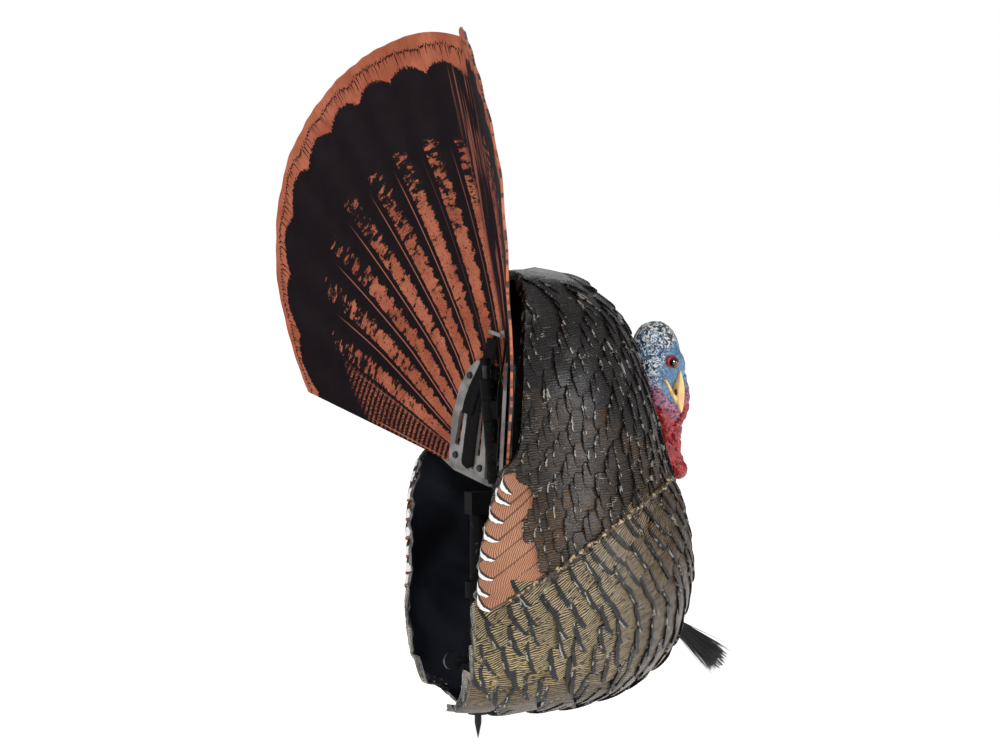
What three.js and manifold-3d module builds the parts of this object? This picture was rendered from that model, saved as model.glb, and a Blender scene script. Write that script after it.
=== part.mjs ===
// Strutting tom turkey decoy: a hollow half shell on a telescoping ground stake,
// with a folding two-part tail fan, a plug-in head that turns and a bristle beard.
// Millimetres, +Z up. The origin is the tip of the ground stake, the bird faces +X
// and its left side is +Y.

import * as THREE from 'three';
import { mergeVertices } from 'three/addons/utils/BufferGeometryUtils.js';
import Module from 'manifold-3d';

const wasm = await Module();
wasm.setup();
const { Manifold, Mesh: SolidMesh } = wasm;

// ---------------------------------------------------------------- driving sizes

const GAP = 0.3; // clearance between pieces that touch

const STAKE = { radius: 3, tip: 14, top: 190 };
const TUBE = { outer: 5, inner: 3.4, bottom: 60, top: 200 };
const CLAMP = { outer: 9, bottom: 61, top: 75, hold: 5 + GAP };
const SPINE = { outer: 7, inner: 5.5, bottom: 86, top: 195.7 };
const HEAD_BLOCK = { back: -9, front: 22, halfWidth: 9, bottom: 192, top: 211 };

const SHELL_WALL = 3;
const SHELL_POWER = 2.2; // roundness of a level slice, 2 is an ellipse
// Level slices of the shell from the bottom to the top:
// height, half width, front, middle and the reach behind the middle
const SHELL_SLICES = [
  [24, 0, 20, 20, 0],
  [27, 44, 74, 20, 46],
  [36, 74, 112, 25, 70],
  [49, 91, 141, 30, 84],
  [76, 106, 170, 34, 98],
  [108, 116, 182, 38, 104],
  [135, 119, 187, 40, 99],
  [165, 120, 186, 40, 100],
  [200, 117, 178, 40, 110],
  [233, 112, 166, 40, 124],
  [265, 109, 158, 40, 124],
  [301, 104, 149.5, 40, 112],
  [340, 92, 138, 42, 92],
  [365, 78, 124, 44, 70],
  [388, 50, 98, 48, 42],
  [398, 28, 76, 51, 24],
  [403, 0, 53, 53, 0],
];
// Side view of the rear rim, from the top down, as [x, z]
const RIM = [
  [31, 402], [26, 391], [19, 376], [12, 355], [7, 335], [2, 300], [-1, 262], [-5, 247],
  [-16, 235], [-26, 205], [-31, 178], [-33, 144], [-35, 110], [-34, 85], [-33, 66],
];
const RIM_END_LEFT = [[-27, 50], [-8, 50], [-8, 0]];
const RIM_END_RIGHT = [[-34, 46], [-39, 30], [-39, 0]];

const FAN = {
  baseHeight: 213, // height of the lowest point of the fold
  baseX: 25.4, // how far forward the fold is there
  rise: 0.053, // forward slope of the flat lower part
  bendStart: 110, // above this the sheet curls back
  bend: 0.0415,
  bendPower: 1.3,
  sweep: THREE.MathUtils.degToRad(21.2), // each half is swept back by this at the bottom
  topSweep: THREE.MathUtils.degToRad(19), // and by this near the top
  twistStart: 125,
  twistEnd: 300,
  radius: 390,
  cornerDrop: 117, // how much shorter the lowest feather is
  cornerAngle: THREE.MathUtils.degToRad(75),
  thickness: 2,
  innerEdge: 0.5,
};
const HINGE = {
  x: 16, // at the height of the fan's lowest point
  lean: -0.0885, // backward travel for each unit of height
  pinRadius: 3,
  bore: 3.5,
  knuckle: 6,
  knuckleLength: 17.5,
  knucklePitch: 18,
  firstKnuckle: 5,
  knuckles: 5,
  pinBottom: -7,
  pinTop: 106,
};
const LEAF = { rear: 1.3, thickness: 2, arm: 15, reach: 50 };
const GREY_PLATE = { rear: 3.6, thickness: 3 };
const FRONT_PLATE = { thickness: 2, lip: 6, inner: 6, outer: 90 };
const STRAP = { width: 13, thickness: 1.6, height: 9.4 };
const TAIL_STRAP = { width: 18, thickness: 2.2, height: 6.9 };

const NECK = {
  centre: new THREE.Vector3(149, 0, 300),
  axis: new THREE.Vector3(0.966, 0, 0.259),
  peg: 7,
  bushing: 9,
};
const BEARD = {
  root: new THREE.Vector3(177, 0, 96),
  axis: new THREE.Vector3(0.8, 0, -0.6),
  ferrule: 6,
  length: 66,
};

const COLOURS = {
  black: 0x121314,
  feather: 0x3a3024,
  copper: 0xb4694b,
  grey: 0xb9b9b6,
  webbing: 0x17171a,
  hookLoop: 0x241c1a,
  steel: 0x26282a,
  zinc: 0x9a9c9e,
  skinBlue: 0x5f9bc4,
  eye: 0x0a0a0a,
  beard: 0x101010,
  rubber: 0x1c1c1c,
};

// ---------------------------------------------------------------- helpers

function solid(geometry) {
  const bare = new THREE.BufferGeometry();
  bare.setAttribute('position', geometry.getAttribute('position'));
  if (geometry.index) bare.setIndex(geometry.index);
  const merged = mergeVertices(bare, 1e-4);
  return new Manifold(new SolidMesh({
    numProp: 3,
    vertProperties: new Float32Array(merged.getAttribute('position').array),
    triVerts: new Uint32Array(merged.index.array),
  }));
}

function geometryOf(manifold) {
  const mesh = manifold.getMesh();
  const geometry = new THREE.BufferGeometry();
  geometry.setAttribute('position', new THREE.BufferAttribute(new Float32Array(mesh.vertProperties), 3));
  geometry.setIndex(new THREE.BufferAttribute(new Uint32Array(mesh.triVerts), 1));
  geometry.computeVertexNormals();
  return geometry;
}

function box(minimum, maximum) {
  const size = maximum.map((value, i) => value - minimum[i]);
  const middle = maximum.map((value, i) => (value + minimum[i]) / 2);
  return new THREE.BoxGeometry(...size).translate(...middle);
}

function rod(start, axis, length, radius, segments = 24, endRadius = radius) {
  const geometry = new THREE.CylinderGeometry(endRadius, radius, length, segments);
  const direction = axis.clone().normalize();
  const turn = new THREE.Quaternion().setFromUnitVectors(new THREE.Vector3(0, 1, 0), direction);
  geometry.translate(0, length / 2, 0);
  geometry.applyQuaternion(turn);
  return geometry.translate(start.x, start.y, start.z);
}

const UP = new THREE.Vector3(0, 0, 1);
const FORWARD = new THREE.Vector3(1, 0, 0);

function upright(x, y, bottom, top, radius, segments = 24) {
  return rod(new THREE.Vector3(x, y, bottom), UP, top - bottom, radius, segments);
}

function ball(centre, radii, segments = 14) {
  const geometry = new THREE.SphereGeometry(1, segments, Math.round(segments * 0.6));
  return geometry.scale(...radii).translate(...centre);
}

function joined(geometries) {
  return geometries.map(solid).reduce((sum, next) => sum.add(next));
}

function cut(base, tools) {
  return tools.map(solid).reduce((rest, tool) => rest.subtract(tool), base);
}

function mirrored(geometry) {
  const copy = geometry.clone().toNonIndexed();
  const position = copy.getAttribute('position');
  for (let i = 0; i < position.count; i += 3) {
    const corners = [0, 2, 1].map((k) => new THREE.Vector3().fromBufferAttribute(position, i + k));
    corners.forEach((corner, k) => position.setXYZ(i + k, corner.x, -corner.y, corner.z));
  }
  copy.deleteAttribute('uv');
  copy.computeVertexNormals();
  return copy;
}

const decoy = new THREE.Group();

function piece(name, geometry, colour, roughness = 0.6, metalness = 0) {
  const material = new THREE.MeshStandardMaterial({ color: COLOURS[colour], roughness, metalness });
  const mesh = new THREE.Mesh(geometry, material);
  mesh.name = name;
  decoy.add(mesh);
  return mesh;
}

// ---------------------------------------------------------------- ground stake

function buildStake() {
  const profile = [
    [0, 0],
    [STAKE.radius, STAKE.tip],
    [STAKE.radius, STAKE.top],
    [0, STAKE.top],
  ].map(([r, z]) => new THREE.Vector2(r, z));
  const stake = new THREE.LatheGeometry(profile, 24).rotateX(Math.PI / 2);
  piece('stake_rod', stake, 'steel', 0.45, 0.6);

  const tube = cut(solid(upright(0, 0, TUBE.bottom, TUBE.top, TUBE.outer)), [
    upright(0, 0, TUBE.bottom - 1, TUBE.top - 4, TUBE.inner),
    rod(new THREE.Vector3(-12, 0, 68), FORWARD, 10, 1.8, 16),
  ]);
  piece('stake_tube', geometryOf(tube), 'steel', 0.45, 0.6);
  piece('pivot_cap', upright(0, 0, TUBE.top + GAP, TUBE.top + 3, 4.6), 'black', 0.5);

  const clamp = cut(solid(upright(0, 0, CLAMP.bottom, CLAMP.top, CLAMP.outer, 32)), [
    upright(0, 0, CLAMP.bottom - 1, CLAMP.top + 1, CLAMP.hold),
    rod(new THREE.Vector3(-14, 0, 68), FORWARD, 10, 1.8, 16),
  ]);
  piece('stake_clamp', geometryOf(clamp), 'black', 0.55);

  const wing = new THREE.CylinderGeometry(8, 8, 3.5, 24).translate(-23, 0, 68);
  const screw = joined([
    rod(new THREE.Vector3(-20, 0, 68), FORWARD, 16.5, 1.5, 16),
    rod(new THREE.Vector3(-20, 0, 68), FORWARD, 9.5, 3.4, 16),
    wing,
  ]);
  piece('thumb_screw', geometryOf(screw), 'steel', 0.45, 0.7);
}

// ---------------------------------------------------------------- hollow shell

// A closed egg through the level slices, each one set in by the same distance
function egg(inset, around = 40, stepsPerSlice = 2) {
  const count = SHELL_SLICES.length;
  const places = SHELL_SLICES.map((_, i) => i);
  const curve = new THREE.CubicInterpolant(places, SHELL_SLICES.flat(), 5);
  const middleHeight = 213;
  const halfHeight = 190;
  const rings = [];
  for (let i = 1; i < (count - 1) * stepsPerSlice; i += 1) {
    const [z, halfWidth, front, middle, reach] = Array.from(curve.evaluate(i / stepsPerSlice));
    const height = middleHeight + (z - middleHeight) * (1 - inset / halfHeight);
    const shrink = Math.min(inset, halfWidth * 0.5, reach * 0.5);
    rings.push({
      height,
      middle,
      halfWidth: halfWidth - shrink,
      front: front - middle - shrink,
      reach: reach - shrink,
    });
  }
  const positions = [20, 0, middleHeight + (24 - middleHeight) * (1 - inset / halfHeight)];
  for (const ring of rings) {
    for (let j = 0; j < around; j += 1) {
      const angle = (j / around) * 2 * Math.PI;
      const along = Math.sign(Math.cos(angle)) * Math.abs(Math.cos(angle)) ** (2 / SHELL_POWER);
      const across = Math.sign(Math.sin(angle)) * Math.abs(Math.sin(angle)) ** (2 / SHELL_POWER);
      const length = along > 0 ? ring.front : ring.reach;
      positions.push(ring.middle + along * length, across * ring.halfWidth, ring.height);
    }
  }
  positions.push(53, 0, middleHeight + (403 - middleHeight) * (1 - inset / halfHeight));
  const last = rings.length * around + 1;
  const triangles = [];
  for (let j = 0; j < around; j += 1) {
    const next = (j + 1) % around;
    triangles.push(0, 1 + next, 1 + j);
    triangles.push(last, last - around + j, last - around + next);
    for (let i = 0; i < rings.length - 1; i += 1) {
      const low = 1 + i * around;
      const high = low + around;
      triangles.push(low + j, low + next, high + next);
      triangles.push(low + j, high + next, high + j);
    }
  }
  const geometry = new THREE.BufferGeometry();
  geometry.setAttribute('position', new THREE.Float32BufferAttribute(positions, 3));
  geometry.setIndex(triangles);
  return geometry;
}

// Everything behind the rim on one side, as a prism across the bird
function behindRim(side, ending) {
  const shape = new THREE.Shape([
    new THREE.Vector2(RIM[0][0], 450),
    ...[...RIM, ...ending].map(([x, z]) => new THREE.Vector2(x, z)),
    new THREE.Vector2(-200, 0),
    new THREE.Vector2(-200, 450),
  ]);
  const depth = 160;
  const prism = new THREE.ExtrudeGeometry(shape, { depth, bevelEnabled: false });
  prism.rotateX(Math.PI / 2);
  const overlap = 0.1; // past the middle, so that the two prisms join
  return prism.translate(0, side > 0 ? depth - overlap : overlap, 0);
}

function neckStart(distance) {
  return NECK.centre.clone().addScaledVector(NECK.axis.clone().normalize(), distance);
}

function beardStart(distance) {
  return BEARD.root.clone().addScaledVector(BEARD.axis.clone().normalize(), distance);
}

const CHEST_SCREWS = [
  { name: 'chest_screw_upper', z: 201 },
  { name: 'chest_screw_lower', z: 128 },
];

// How far forward the chest is at a height, from the level slices on each side of it
function chestAt(z) {
  const above = SHELL_SLICES.findIndex((slice) => slice[0] > z);
  const [low, high] = [SHELL_SLICES[above - 1], SHELL_SLICES[above]];
  const share = (z - low[0]) / (high[0] - low[0]);
  return low[2] + (high[2] - low[2]) * share;
}

function buildShell() {
  const shell = cut(solid(egg(0)), [
    egg(SHELL_WALL),
    behindRim(1, RIM_END_LEFT),
    behindRim(-1, RIM_END_RIGHT),
    upright(0, 0, 0, 60, 9),
    rod(neckStart(-20), NECK.axis, 40, NECK.bushing + GAP, 24),
    rod(beardStart(-20), BEARD.axis, 40, BEARD.ferrule + GAP, 20),
    ...CHEST_SCREWS.map(({ z }) => rod(new THREE.Vector3(150, 0, z), FORWARD, 60, 2.3, 16)),
  ]);
  piece('body_shell', geometryOf(shell), 'feather', 0.5);

  const grommet = cut(
    joined([upright(0, 0, 21.5, 33, 8.7), upright(0, 0, 29.6, 33, 12)]),
    [upright(0, 0, 0, 50, STAKE.radius + 0.6)],
  );
  piece('floor_grommet', geometryOf(grommet), 'rubber', 0.8);
}

function buildSpine() {
  const tube = cut(solid(upright(0, 0, SPINE.bottom, SPINE.top, SPINE.outer, 32)), [
    upright(0, 0, 0, 300, SPINE.inner, 32),
  ]);
  piece('spine_tube', geometryOf(tube), 'black', 0.45);

  const block = box(
    [HEAD_BLOCK.back, -HEAD_BLOCK.halfWidth, HEAD_BLOCK.bottom],
    [HEAD_BLOCK.front, HEAD_BLOCK.halfWidth, HEAD_BLOCK.top],
  );
  const stakeBore = TUBE.top + 3 + GAP;
  const socket = cut(solid(block), [
    upright(0, 0, 150, SPINE.top + GAP, SPINE.outer + GAP, 32),
    upright(0, 0, 150, stakeBore, SPINE.inner, 32),
    hingeRod(HINGE.pinBottom - GAP, 60, HINGE.pinRadius + GAP),
  ]);
  piece('fan_socket', geometryOf(socket), 'black', 0.5);

  const struts = [['upper_strut', 201, HEAD_BLOCK.front], ['lower_strut', 128, SPINE.outer]];
  for (const [name, z, start] of struts) {
    const parts = [
      box([start + GAP, -5, z - 2], [200, 5, z + 2]),
      box([160, -11, z - 8], [200, 11, z + 8]),
    ];
    const holes = [rod(new THREE.Vector3(163, 0, z), FORWARD, 40, 2.3, 16)];
    if (name === 'lower_strut') {
      parts.push(upright(0, 0, z - 7, z + 7, SPINE.outer + 4, 32));
      holes.push(upright(0, 0, 0, 300, SPINE.outer + GAP, 32));
    }
    const strut = cut(joined(parts), holes).intersect(solid(egg(SHELL_WALL + 0.5)));
    piece(name, geometryOf(strut), 'black', 0.5);
  }

  for (const { name, z } of CHEST_SCREWS) {
    const wall = chestAt(z) + 0.6;
    const shank = rod(new THREE.Vector3(164, 0, z), FORWARD, wall - 164 + 1.5, 1.9, 16);
    const head = rod(new THREE.Vector3(wall + 1, 0, z), FORWARD, 2.2, 3.8, 20, 3);
    piece(name, geometryOf(joined([shank, head])), 'zinc', 0.4, 0.7);
  }
}

// ---------------------------------------------------------------- fan and its hinge

const hingeAxis = new THREE.Vector3(HINGE.lean, 0, 1).normalize();

function hingePoint(along) {
  return new THREE.Vector3(HINGE.x, 0, FAN.baseHeight).addScaledVector(hingeAxis, along);
}

function hingeRod(from, to, radius, segments = 20) {
  return rod(hingePoint(from), hingeAxis, to - from, radius, segments);
}

function foldX(up) {
  const curl = FAN.bend * Math.max(0, up - FAN.bendStart) ** FAN.bendPower;
  return FAN.baseX + FAN.rise * up - curl;
}

// Which way the left half runs outward at a height above its lowest point
function alongSheet(up) {
  const share = THREE.MathUtils.smoothstep(up, FAN.twistStart, FAN.twistEnd);
  const sweep = THREE.MathUtils.lerp(FAN.sweep, FAN.topSweep, share);
  return new THREE.Vector3(-Math.sin(sweep), Math.cos(sweep), 0);
}

// Rear-facing normal of the flat lower part of the left half
const upSheet = new THREE.Vector3(FAN.rise, 0, 1).normalize();
const rearNormal = new THREE.Vector3().crossVectors(upSheet, alongSheet(0)).normalize();

// A point of the left half: distance out from the fold, height above the
// lowest point, and distance behind the middle of the sheet
function sheetPoint(out, up, rear) {
  const point = new THREE.Vector3(foldX(up), 0, FAN.baseHeight + up);
  point.addScaledVector(alongSheet(up), out);
  return point.addScaledVector(rearNormal, rear);
}

// Radius of the fan's outline at an angle from straight up
function fanRadius(angle) {
  const degrees = THREE.MathUtils.radToDeg(angle);
  const swell = 0.02 * Math.sin(2 * Math.min(angle, Math.PI / 4));
  return FAN.radius * (1 + swell) - FAN.cornerDrop * Math.max(0, (degrees - 42) / 33) ** 1.9;
}

function fanPanel() {
  const rows = [[FAN.innerEdge + 4, 0]];
  const corner = fanRadius(FAN.cornerAngle);
  for (let i = 1; i <= 6; i += 1) {
    const r = (corner * i) / 6;
    rows.push([r * Math.sin(FAN.cornerAngle), r * Math.cos(FAN.cornerAngle)]);
  }
  const lastAngle = THREE.MathUtils.degToRad(3);
  for (let i = 1; i <= 30; i += 1) {
    const angle = FAN.cornerAngle + (lastAngle - FAN.cornerAngle) * (i / 30);
    rows.push([fanRadius(angle) * Math.sin(angle), fanRadius(angle) * Math.cos(angle)]);
  }
  const half = FAN.thickness / 2;
  const positions = [];
  for (const [out, up] of rows) {
    for (const [a, rear] of [[FAN.innerEdge, half], [out, half], [out, -half], [FAN.innerEdge, -half]]) {
      positions.push(...sheetPoint(a, up, rear).toArray());
    }
  }
  const triangles = [0, 2, 1, 0, 3, 2];
  for (let i = 0; i < rows.length - 1; i += 1) {
    for (let k = 0; k < 4; k += 1) {
      const a = 4 * i + k;
      const b = 4 * i + ((k + 1) % 4);
      triangles.push(a, b, b + 4, a, b + 4, a + 4);
    }
  }
  const end = 4 * (rows.length - 1);
  triangles.push(end, end + 1, end + 2, end, end + 2, end + 3);
  const geometry = new THREE.BufferGeometry();
  geometry.setAttribute('position', new THREE.Float32BufferAttribute(positions, 3));
  geometry.setIndex(triangles);
  return geometry;
}

// A flat plate parallel to the sheet, from its outline in [out, up]
function sheetPlate(outline, rear, thickness) {
  const shape = new THREE.Shape(outline.map(([a, b]) => new THREE.Vector2(a, b)));
  const plate = new THREE.ExtrudeGeometry(shape, { depth: thickness, bevelEnabled: false });
  const position = plate.getAttribute('position');
  for (let i = 0; i < position.count; i += 1) {
    const point = sheetPoint(position.getX(i), position.getY(i), rear + position.getZ(i));
    position.setXYZ(i, point.x, point.y, point.z);
  }
  return geometryOf(solid(turnedOut(plate)));
}

// Flips every triangle when a mapping has turned a solid inside out
function turnedOut(geometry) {
  const flat = geometry.index ? geometry.toNonIndexed() : geometry;
  const position = flat.getAttribute('position');
  let volume = 0;
  const corner = (i) => new THREE.Vector3().fromBufferAttribute(position, i);
  for (let i = 0; i < position.count; i += 3) {
    volume += corner(i).dot(corner(i + 1).cross(corner(i + 2)));
  }
  if (volume > 0) return flat;
  for (let i = 0; i < position.count; i += 3) {
    const [b, c] = [corner(i + 1), corner(i + 2)];
    position.setXYZ(i + 1, c.x, c.y, c.z);
    position.setXYZ(i + 2, b.x, b.y, b.z);
  }
  return flat;
}

function strip(from, to, width, rear, thickness) {
  const [a0, b0] = from;
  const [a1, b1] = to;
  const length = Math.hypot(a1 - a0, b1 - b0);
  const side = [(-(b1 - b0) / length) * (width / 2), ((a1 - a0) / length) * (width / 2)];
  const outline = [
    [a0 + side[0], b0 + side[1]], [a0 - side[0], b0 - side[1]],
    [a1 - side[0], b1 - side[1]], [a1 + side[0], b1 + side[1]],
  ];
  return sheetPlate(outline, rear, thickness);
}

const PLATE_SCREWS = [[27, 16], [59, 26], [45.5, 95]];
const STRAP_SLOTS = [
  [[50, 66], [56, 64], [61, 36], [55, 34]],
  [[25, 66], [30.5, 66], [33.5, 27], [28, 26]],
  [[49, 20.5], [52, 21.5], [51, 28], [48, 27]],
  [[35.5, 14.5], [38.5, 15.5], [37.5, 22], [34.5, 21]],
];

// One knuckle in two belongs to each side; first is 0 for the left and 1 for the right
function hingeLeaf(first) {
  const parts = [sheetPlate(
    [[LEAF.arm, 8], [LEAF.reach + 13, 20], [LEAF.reach + 13, 31], [LEAF.arm + 4, 24],
      [LEAF.arm + 4, 88], [LEAF.reach, 88], [LEAF.reach, 98], [LEAF.reach - 8, 104], [LEAF.arm, 104]],
    LEAF.rear, LEAF.thickness,
  )];
  const clear = [hingeRod(-20, 160, HINGE.bore)];
  for (let i = 0; i < HINGE.knuckles; i += 1) {
    const low = HINGE.firstKnuckle + i * HINGE.knucklePitch;
    const high = low + HINGE.knuckleLength;
    if (i % 2 === first) {
      parts.push(hingeRod(low, high, HINGE.knuckle));
      const arm = [
        ...[low, high].flatMap((h) => [-2.4, 2.4].map((x) => hingePoint(h).add(new THREE.Vector3(x, 3.8, 0)))),
        ...[low + 3, high - 3].flatMap((h) => [LEAF.rear, LEAF.rear + LEAF.thickness].map(
          (rear) => sheetPoint(LEAF.arm + 2, h, rear),
        )),
      ];
      parts.push(geometryOf(Manifold.hull(arm.map((p) => p.toArray()))));
    } else {
      clear.push(hingeRod(low - 0.5, high + 0.5, HINGE.knuckle + 0.7));
    }
  }
  const holes = PLATE_SCREWS.map(([a, b]) => screwHole(a, b, 1.8));
  return geometryOf(cut(joined(parts), [...clear, ...holes]));
}

function screwHole(out, up, radius) {
  return rod(sheetPoint(out, up, -15), rearNormal, 30, radius, 16);
}

function fanScrew(out, up) {
  const start = sheetPoint(out, up, -3.2);
  const top = GREY_PLATE.rear + GREY_PLATE.thickness + GAP;
  const shank = rod(start, rearNormal, 3.2 + top + 0.5, 1.5, 16);
  const head = rod(sheetPoint(out, up, top), rearNormal, 1.6, 3.2, 20, 2.6);
  return geometryOf(joined([shank, head]));
}

function buildFanSide(side, first) {
  const place = side === 'left' ? (geometry) => geometry : mirrored;
  const add = (name, geometry, ...finish) => piece(`${name}_${side}`, place(geometry), ...finish);
  const holes = PLATE_SCREWS.map(([a, b]) => screwHole(a, b, 1.8));

  add('fan_panel', geometryOf(cut(solid(turnedOut(fanPanel())), holes)), 'copper', 0.6);

  const grey = sheetPlate(
    [[21, 7.5], [68, 20], [66, 60], [58, 86], [47, 102], [38, 108], [22, 108]],
    GREY_PLATE.rear, GREY_PLATE.thickness,
  );
  const slots = STRAP_SLOTS.map((slot) => sheetPlate(slot, GREY_PLATE.rear - 1, GREY_PLATE.thickness + 2));
  add('rear_plate', geometryOf(cut(solid(grey), [...slots, ...holes])), 'grey', 0.5);

  const edge = Math.tan(FAN.cornerAngle);
  const { lip, inner, outer } = FRONT_PLATE;
  const front = sheetPlate(
    [[inner, inner / edge - 3], [inner + 20, (inner + 20) / edge - lip], [outer - 20, (outer - 20) / edge - lip],
      [outer, outer / edge], [outer - 6, outer / edge + 14], [54, 60], [52, 106], [inner, 106]],
    -(FAN.thickness / 2) - GAP - FRONT_PLATE.thickness, FRONT_PLATE.thickness,
  );
  add('front_plate', geometryOf(cut(solid(front), holes)), 'grey', 0.5);
  add('hinge_leaf', hingeLeaf(first), 'black', 0.5);
  PLATE_SCREWS.forEach(([a, b], i) => {
    piece(`fan_screw_${side}_${i + 1}`, place(fanScrew(a, b)), 'steel', 0.5, 0.6);
  });

  add('strap', strip([12, 124], [47.5, 62], STRAP.width, STRAP.height, STRAP.thickness), 'webbing', 0.9);
  add('strap_bar', strip([4.5, 130], [19, 133.5], 3, 5.6, 3), 'grey', 0.4);
  add('hook_loop_tail', strip([31, 87], [43, 14], TAIL_STRAP.width, TAIL_STRAP.height, TAIL_STRAP.thickness),
    'hookLoop', 1);
}

function buildHingePin() {
  piece('fan_post', hingeRod(HINGE.pinBottom, HINGE.pinTop, HINGE.pinRadius), 'steel', 0.4, 0.7);
  piece('post_cap', hingeRod(HINGE.pinTop + GAP, HINGE.pinTop + 6, 4.5), 'black', 0.6);
}

// ---------------------------------------------------------------- head

function eyePlace(side) {
  return [173, side * 19.2, 319.2];
}

function buildHead() {
  const skull = [
    ball([168, 0, 326], [23, 20, 30]),
    ball([176, 0, 312], [17, 16, 20]),
    ball([165, 0, 300], [14, 14, 22]),
    ball([171, 0, 276], [12, 13, 20]),
  ];
  const beak = [
    rod(new THREE.Vector3(185, 0, 306), new THREE.Vector3(0.16, 0, -1), 28, 9, 16, 1.2),
    rod(new THREE.Vector3(180, 0, 303), new THREE.Vector3(0.34, 0, -1), 20, 7, 16, 1.5),
  ];
  const snood = [
    ball([189, 0, 322], [6, 6, 9]),
    ball([195, 0, 309], [5, 5, 10]),
    ball([197, 0, 295], [4.6, 4.6, 11]),
    ball([196, 0, 281], [4.4, 4.4, 11]),
    ball([193, 0, 270], [3.8, 3.8, 9]),
  ];
  const wattles = [
    ball([178, 7, 262], [8, 8, 10]), ball([178, -7, 262], [8, 8, 10]),
    ball([181, 5, 248], [7, 7, 9]), ball([181, -6, 246], [7, 7, 9]),
    ball([185, -2, 233], [8.5, 9, 9]), ball([172, 0, 255], [8, 12, 14]),
  ];
  const peg = rod(neckStart(-12), NECK.axis, 24, NECK.peg);
  const collar = rod(neckStart(5.2), NECK.axis, 8, 12, 24);
  const flesh = joined([...skull, ...beak, ...snood, ...wattles, peg, collar]);
  const outside = solid(egg(-2.5));
  const clear = flesh.subtract(outside).add(solid(peg));
  const sockets = [-1, 1].map((side) => ball(eyePlace(side), [4.7, 4.7, 4.7], 16));
  piece('head', geometryOf(cut(clear, sockets)), 'skinBlue', 0.45);
  for (const [name, side] of [['eye_left', 1], ['eye_right', -1]]) {
    piece(name, ball(eyePlace(side), [4.2, 4.2, 4.2], 16), 'eye', 0.1);
  }
  const bushing = cut(
    joined([
      rod(neckStart(-6), NECK.axis, 7.5, NECK.bushing),
      rod(neckStart(-6), NECK.axis, 1.8, NECK.bushing + 3),
    ]),
    [rod(neckStart(-30), NECK.axis, 60, NECK.peg + 0.4)],
  );
  piece('neck_bushing', geometryOf(bushing), 'black', 0.5);
  const ring = cut(solid(rod(neckStart(-9.6), NECK.axis, 3, NECK.peg + 3.5)), [
    rod(neckStart(-30), NECK.axis, 60, NECK.peg + GAP),
  ]);
  piece('neck_retainer', geometryOf(ring), 'zinc', 0.4, 0.7);
}

// ---------------------------------------------------------------- beard

function buildBeard() {
  const ferrule = cut(joined([
    rod(beardStart(-11), BEARD.axis, 15, BEARD.ferrule, 20),
    rod(beardStart(-11), BEARD.axis, 2, BEARD.ferrule + 3, 20),
  ]), [rod(beardStart(-5), BEARD.axis, 20, BEARD.ferrule - 1.5, 20)]);
  piece('beard_ferrule', geometryOf(ferrule), 'black', 0.5);
  const tuft = rod(beardStart(-4.5), BEARD.axis, BEARD.length + 4.5, 2.6, 20, 14);
  piece('beard_bristles', tuft, 'beard', 0.9);
}

buildStake();
buildShell();
buildSpine();
buildHingePin();
buildFanSide('left', 0);
buildFanSide('right', 1);
buildHead();
buildBeard();

export default decoy;
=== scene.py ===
"""Strutting turkey decoy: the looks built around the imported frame.

Lengths are millimetres inside the mesh code and metres in Blender. The bird faces +X,
its left side is +Y and the tip of the ground stake is the origin.
"""

import math

import bmesh
import bpy
import numpy as np
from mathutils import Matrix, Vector, noise
from mathutils.bvhtree import BVHTree


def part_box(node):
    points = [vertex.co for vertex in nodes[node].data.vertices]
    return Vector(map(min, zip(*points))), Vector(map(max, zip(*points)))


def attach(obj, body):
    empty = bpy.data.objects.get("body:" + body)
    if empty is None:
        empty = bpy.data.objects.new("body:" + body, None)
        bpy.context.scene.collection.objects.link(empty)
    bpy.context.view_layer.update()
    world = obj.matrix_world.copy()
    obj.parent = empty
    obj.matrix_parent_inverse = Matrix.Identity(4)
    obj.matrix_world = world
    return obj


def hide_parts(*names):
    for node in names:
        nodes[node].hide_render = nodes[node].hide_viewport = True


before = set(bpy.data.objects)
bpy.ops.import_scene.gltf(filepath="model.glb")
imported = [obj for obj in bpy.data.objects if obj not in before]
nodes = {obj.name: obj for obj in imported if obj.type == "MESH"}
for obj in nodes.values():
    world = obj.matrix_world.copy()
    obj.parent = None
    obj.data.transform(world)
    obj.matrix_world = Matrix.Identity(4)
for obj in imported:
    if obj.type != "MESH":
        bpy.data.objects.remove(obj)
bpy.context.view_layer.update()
MM = 0.001
WORDS = {1: "left", -1: "right"}


# ------------------------------------------------------------------ camera, light, floor

# degrees and metres; the width is what the picture spans at the target
VIEW = dict(azimuth=-21, elevation=2.5, distance=3.0, width=0.85, target=(0.020, 0, 0.310))
SENSOR = 36
BACKDROP_LIGHT, BACKDROP_SEEN = 0.26, 1.0
FLOOR_REACH = 30000  # millimetres


def aim(obj, target):
    obj.rotation_mode = "QUATERNION"
    obj.rotation_quaternion = (Vector(target) - obj.location).to_track_quat("-Z", "Y")


def link(obj):
    bpy.context.scene.collection.objects.link(obj)
    return obj


def make_camera():
    azimuth, elevation = math.radians(VIEW["azimuth"]), math.radians(VIEW["elevation"])
    target = Vector(VIEW["target"])
    back = Vector((
        math.sin(azimuth) * math.cos(elevation),
        -math.cos(azimuth) * math.cos(elevation),
        math.sin(elevation),
    ))
    camera = link(bpy.data.objects.new("camera", bpy.data.cameras.new("camera")))
    camera.location = target + back * VIEW["distance"]
    camera.data.sensor_width = SENSOR
    camera.data.lens = SENSOR * VIEW["distance"] / VIEW["width"]
    camera.data.clip_start, camera.data.clip_end = 0.1, 100
    aim(camera, target)
    bpy.context.scene.camera = camera


def area_light(name, place, target, size, watts):
    data = bpy.data.lights.new(name, "AREA")
    data.shape, data.size, data.size_y = "RECTANGLE", size[0], size[1]
    data.energy = watts
    lamp = link(bpy.data.objects.new(name, data))
    lamp.location = place
    aim(lamp, target)


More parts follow.
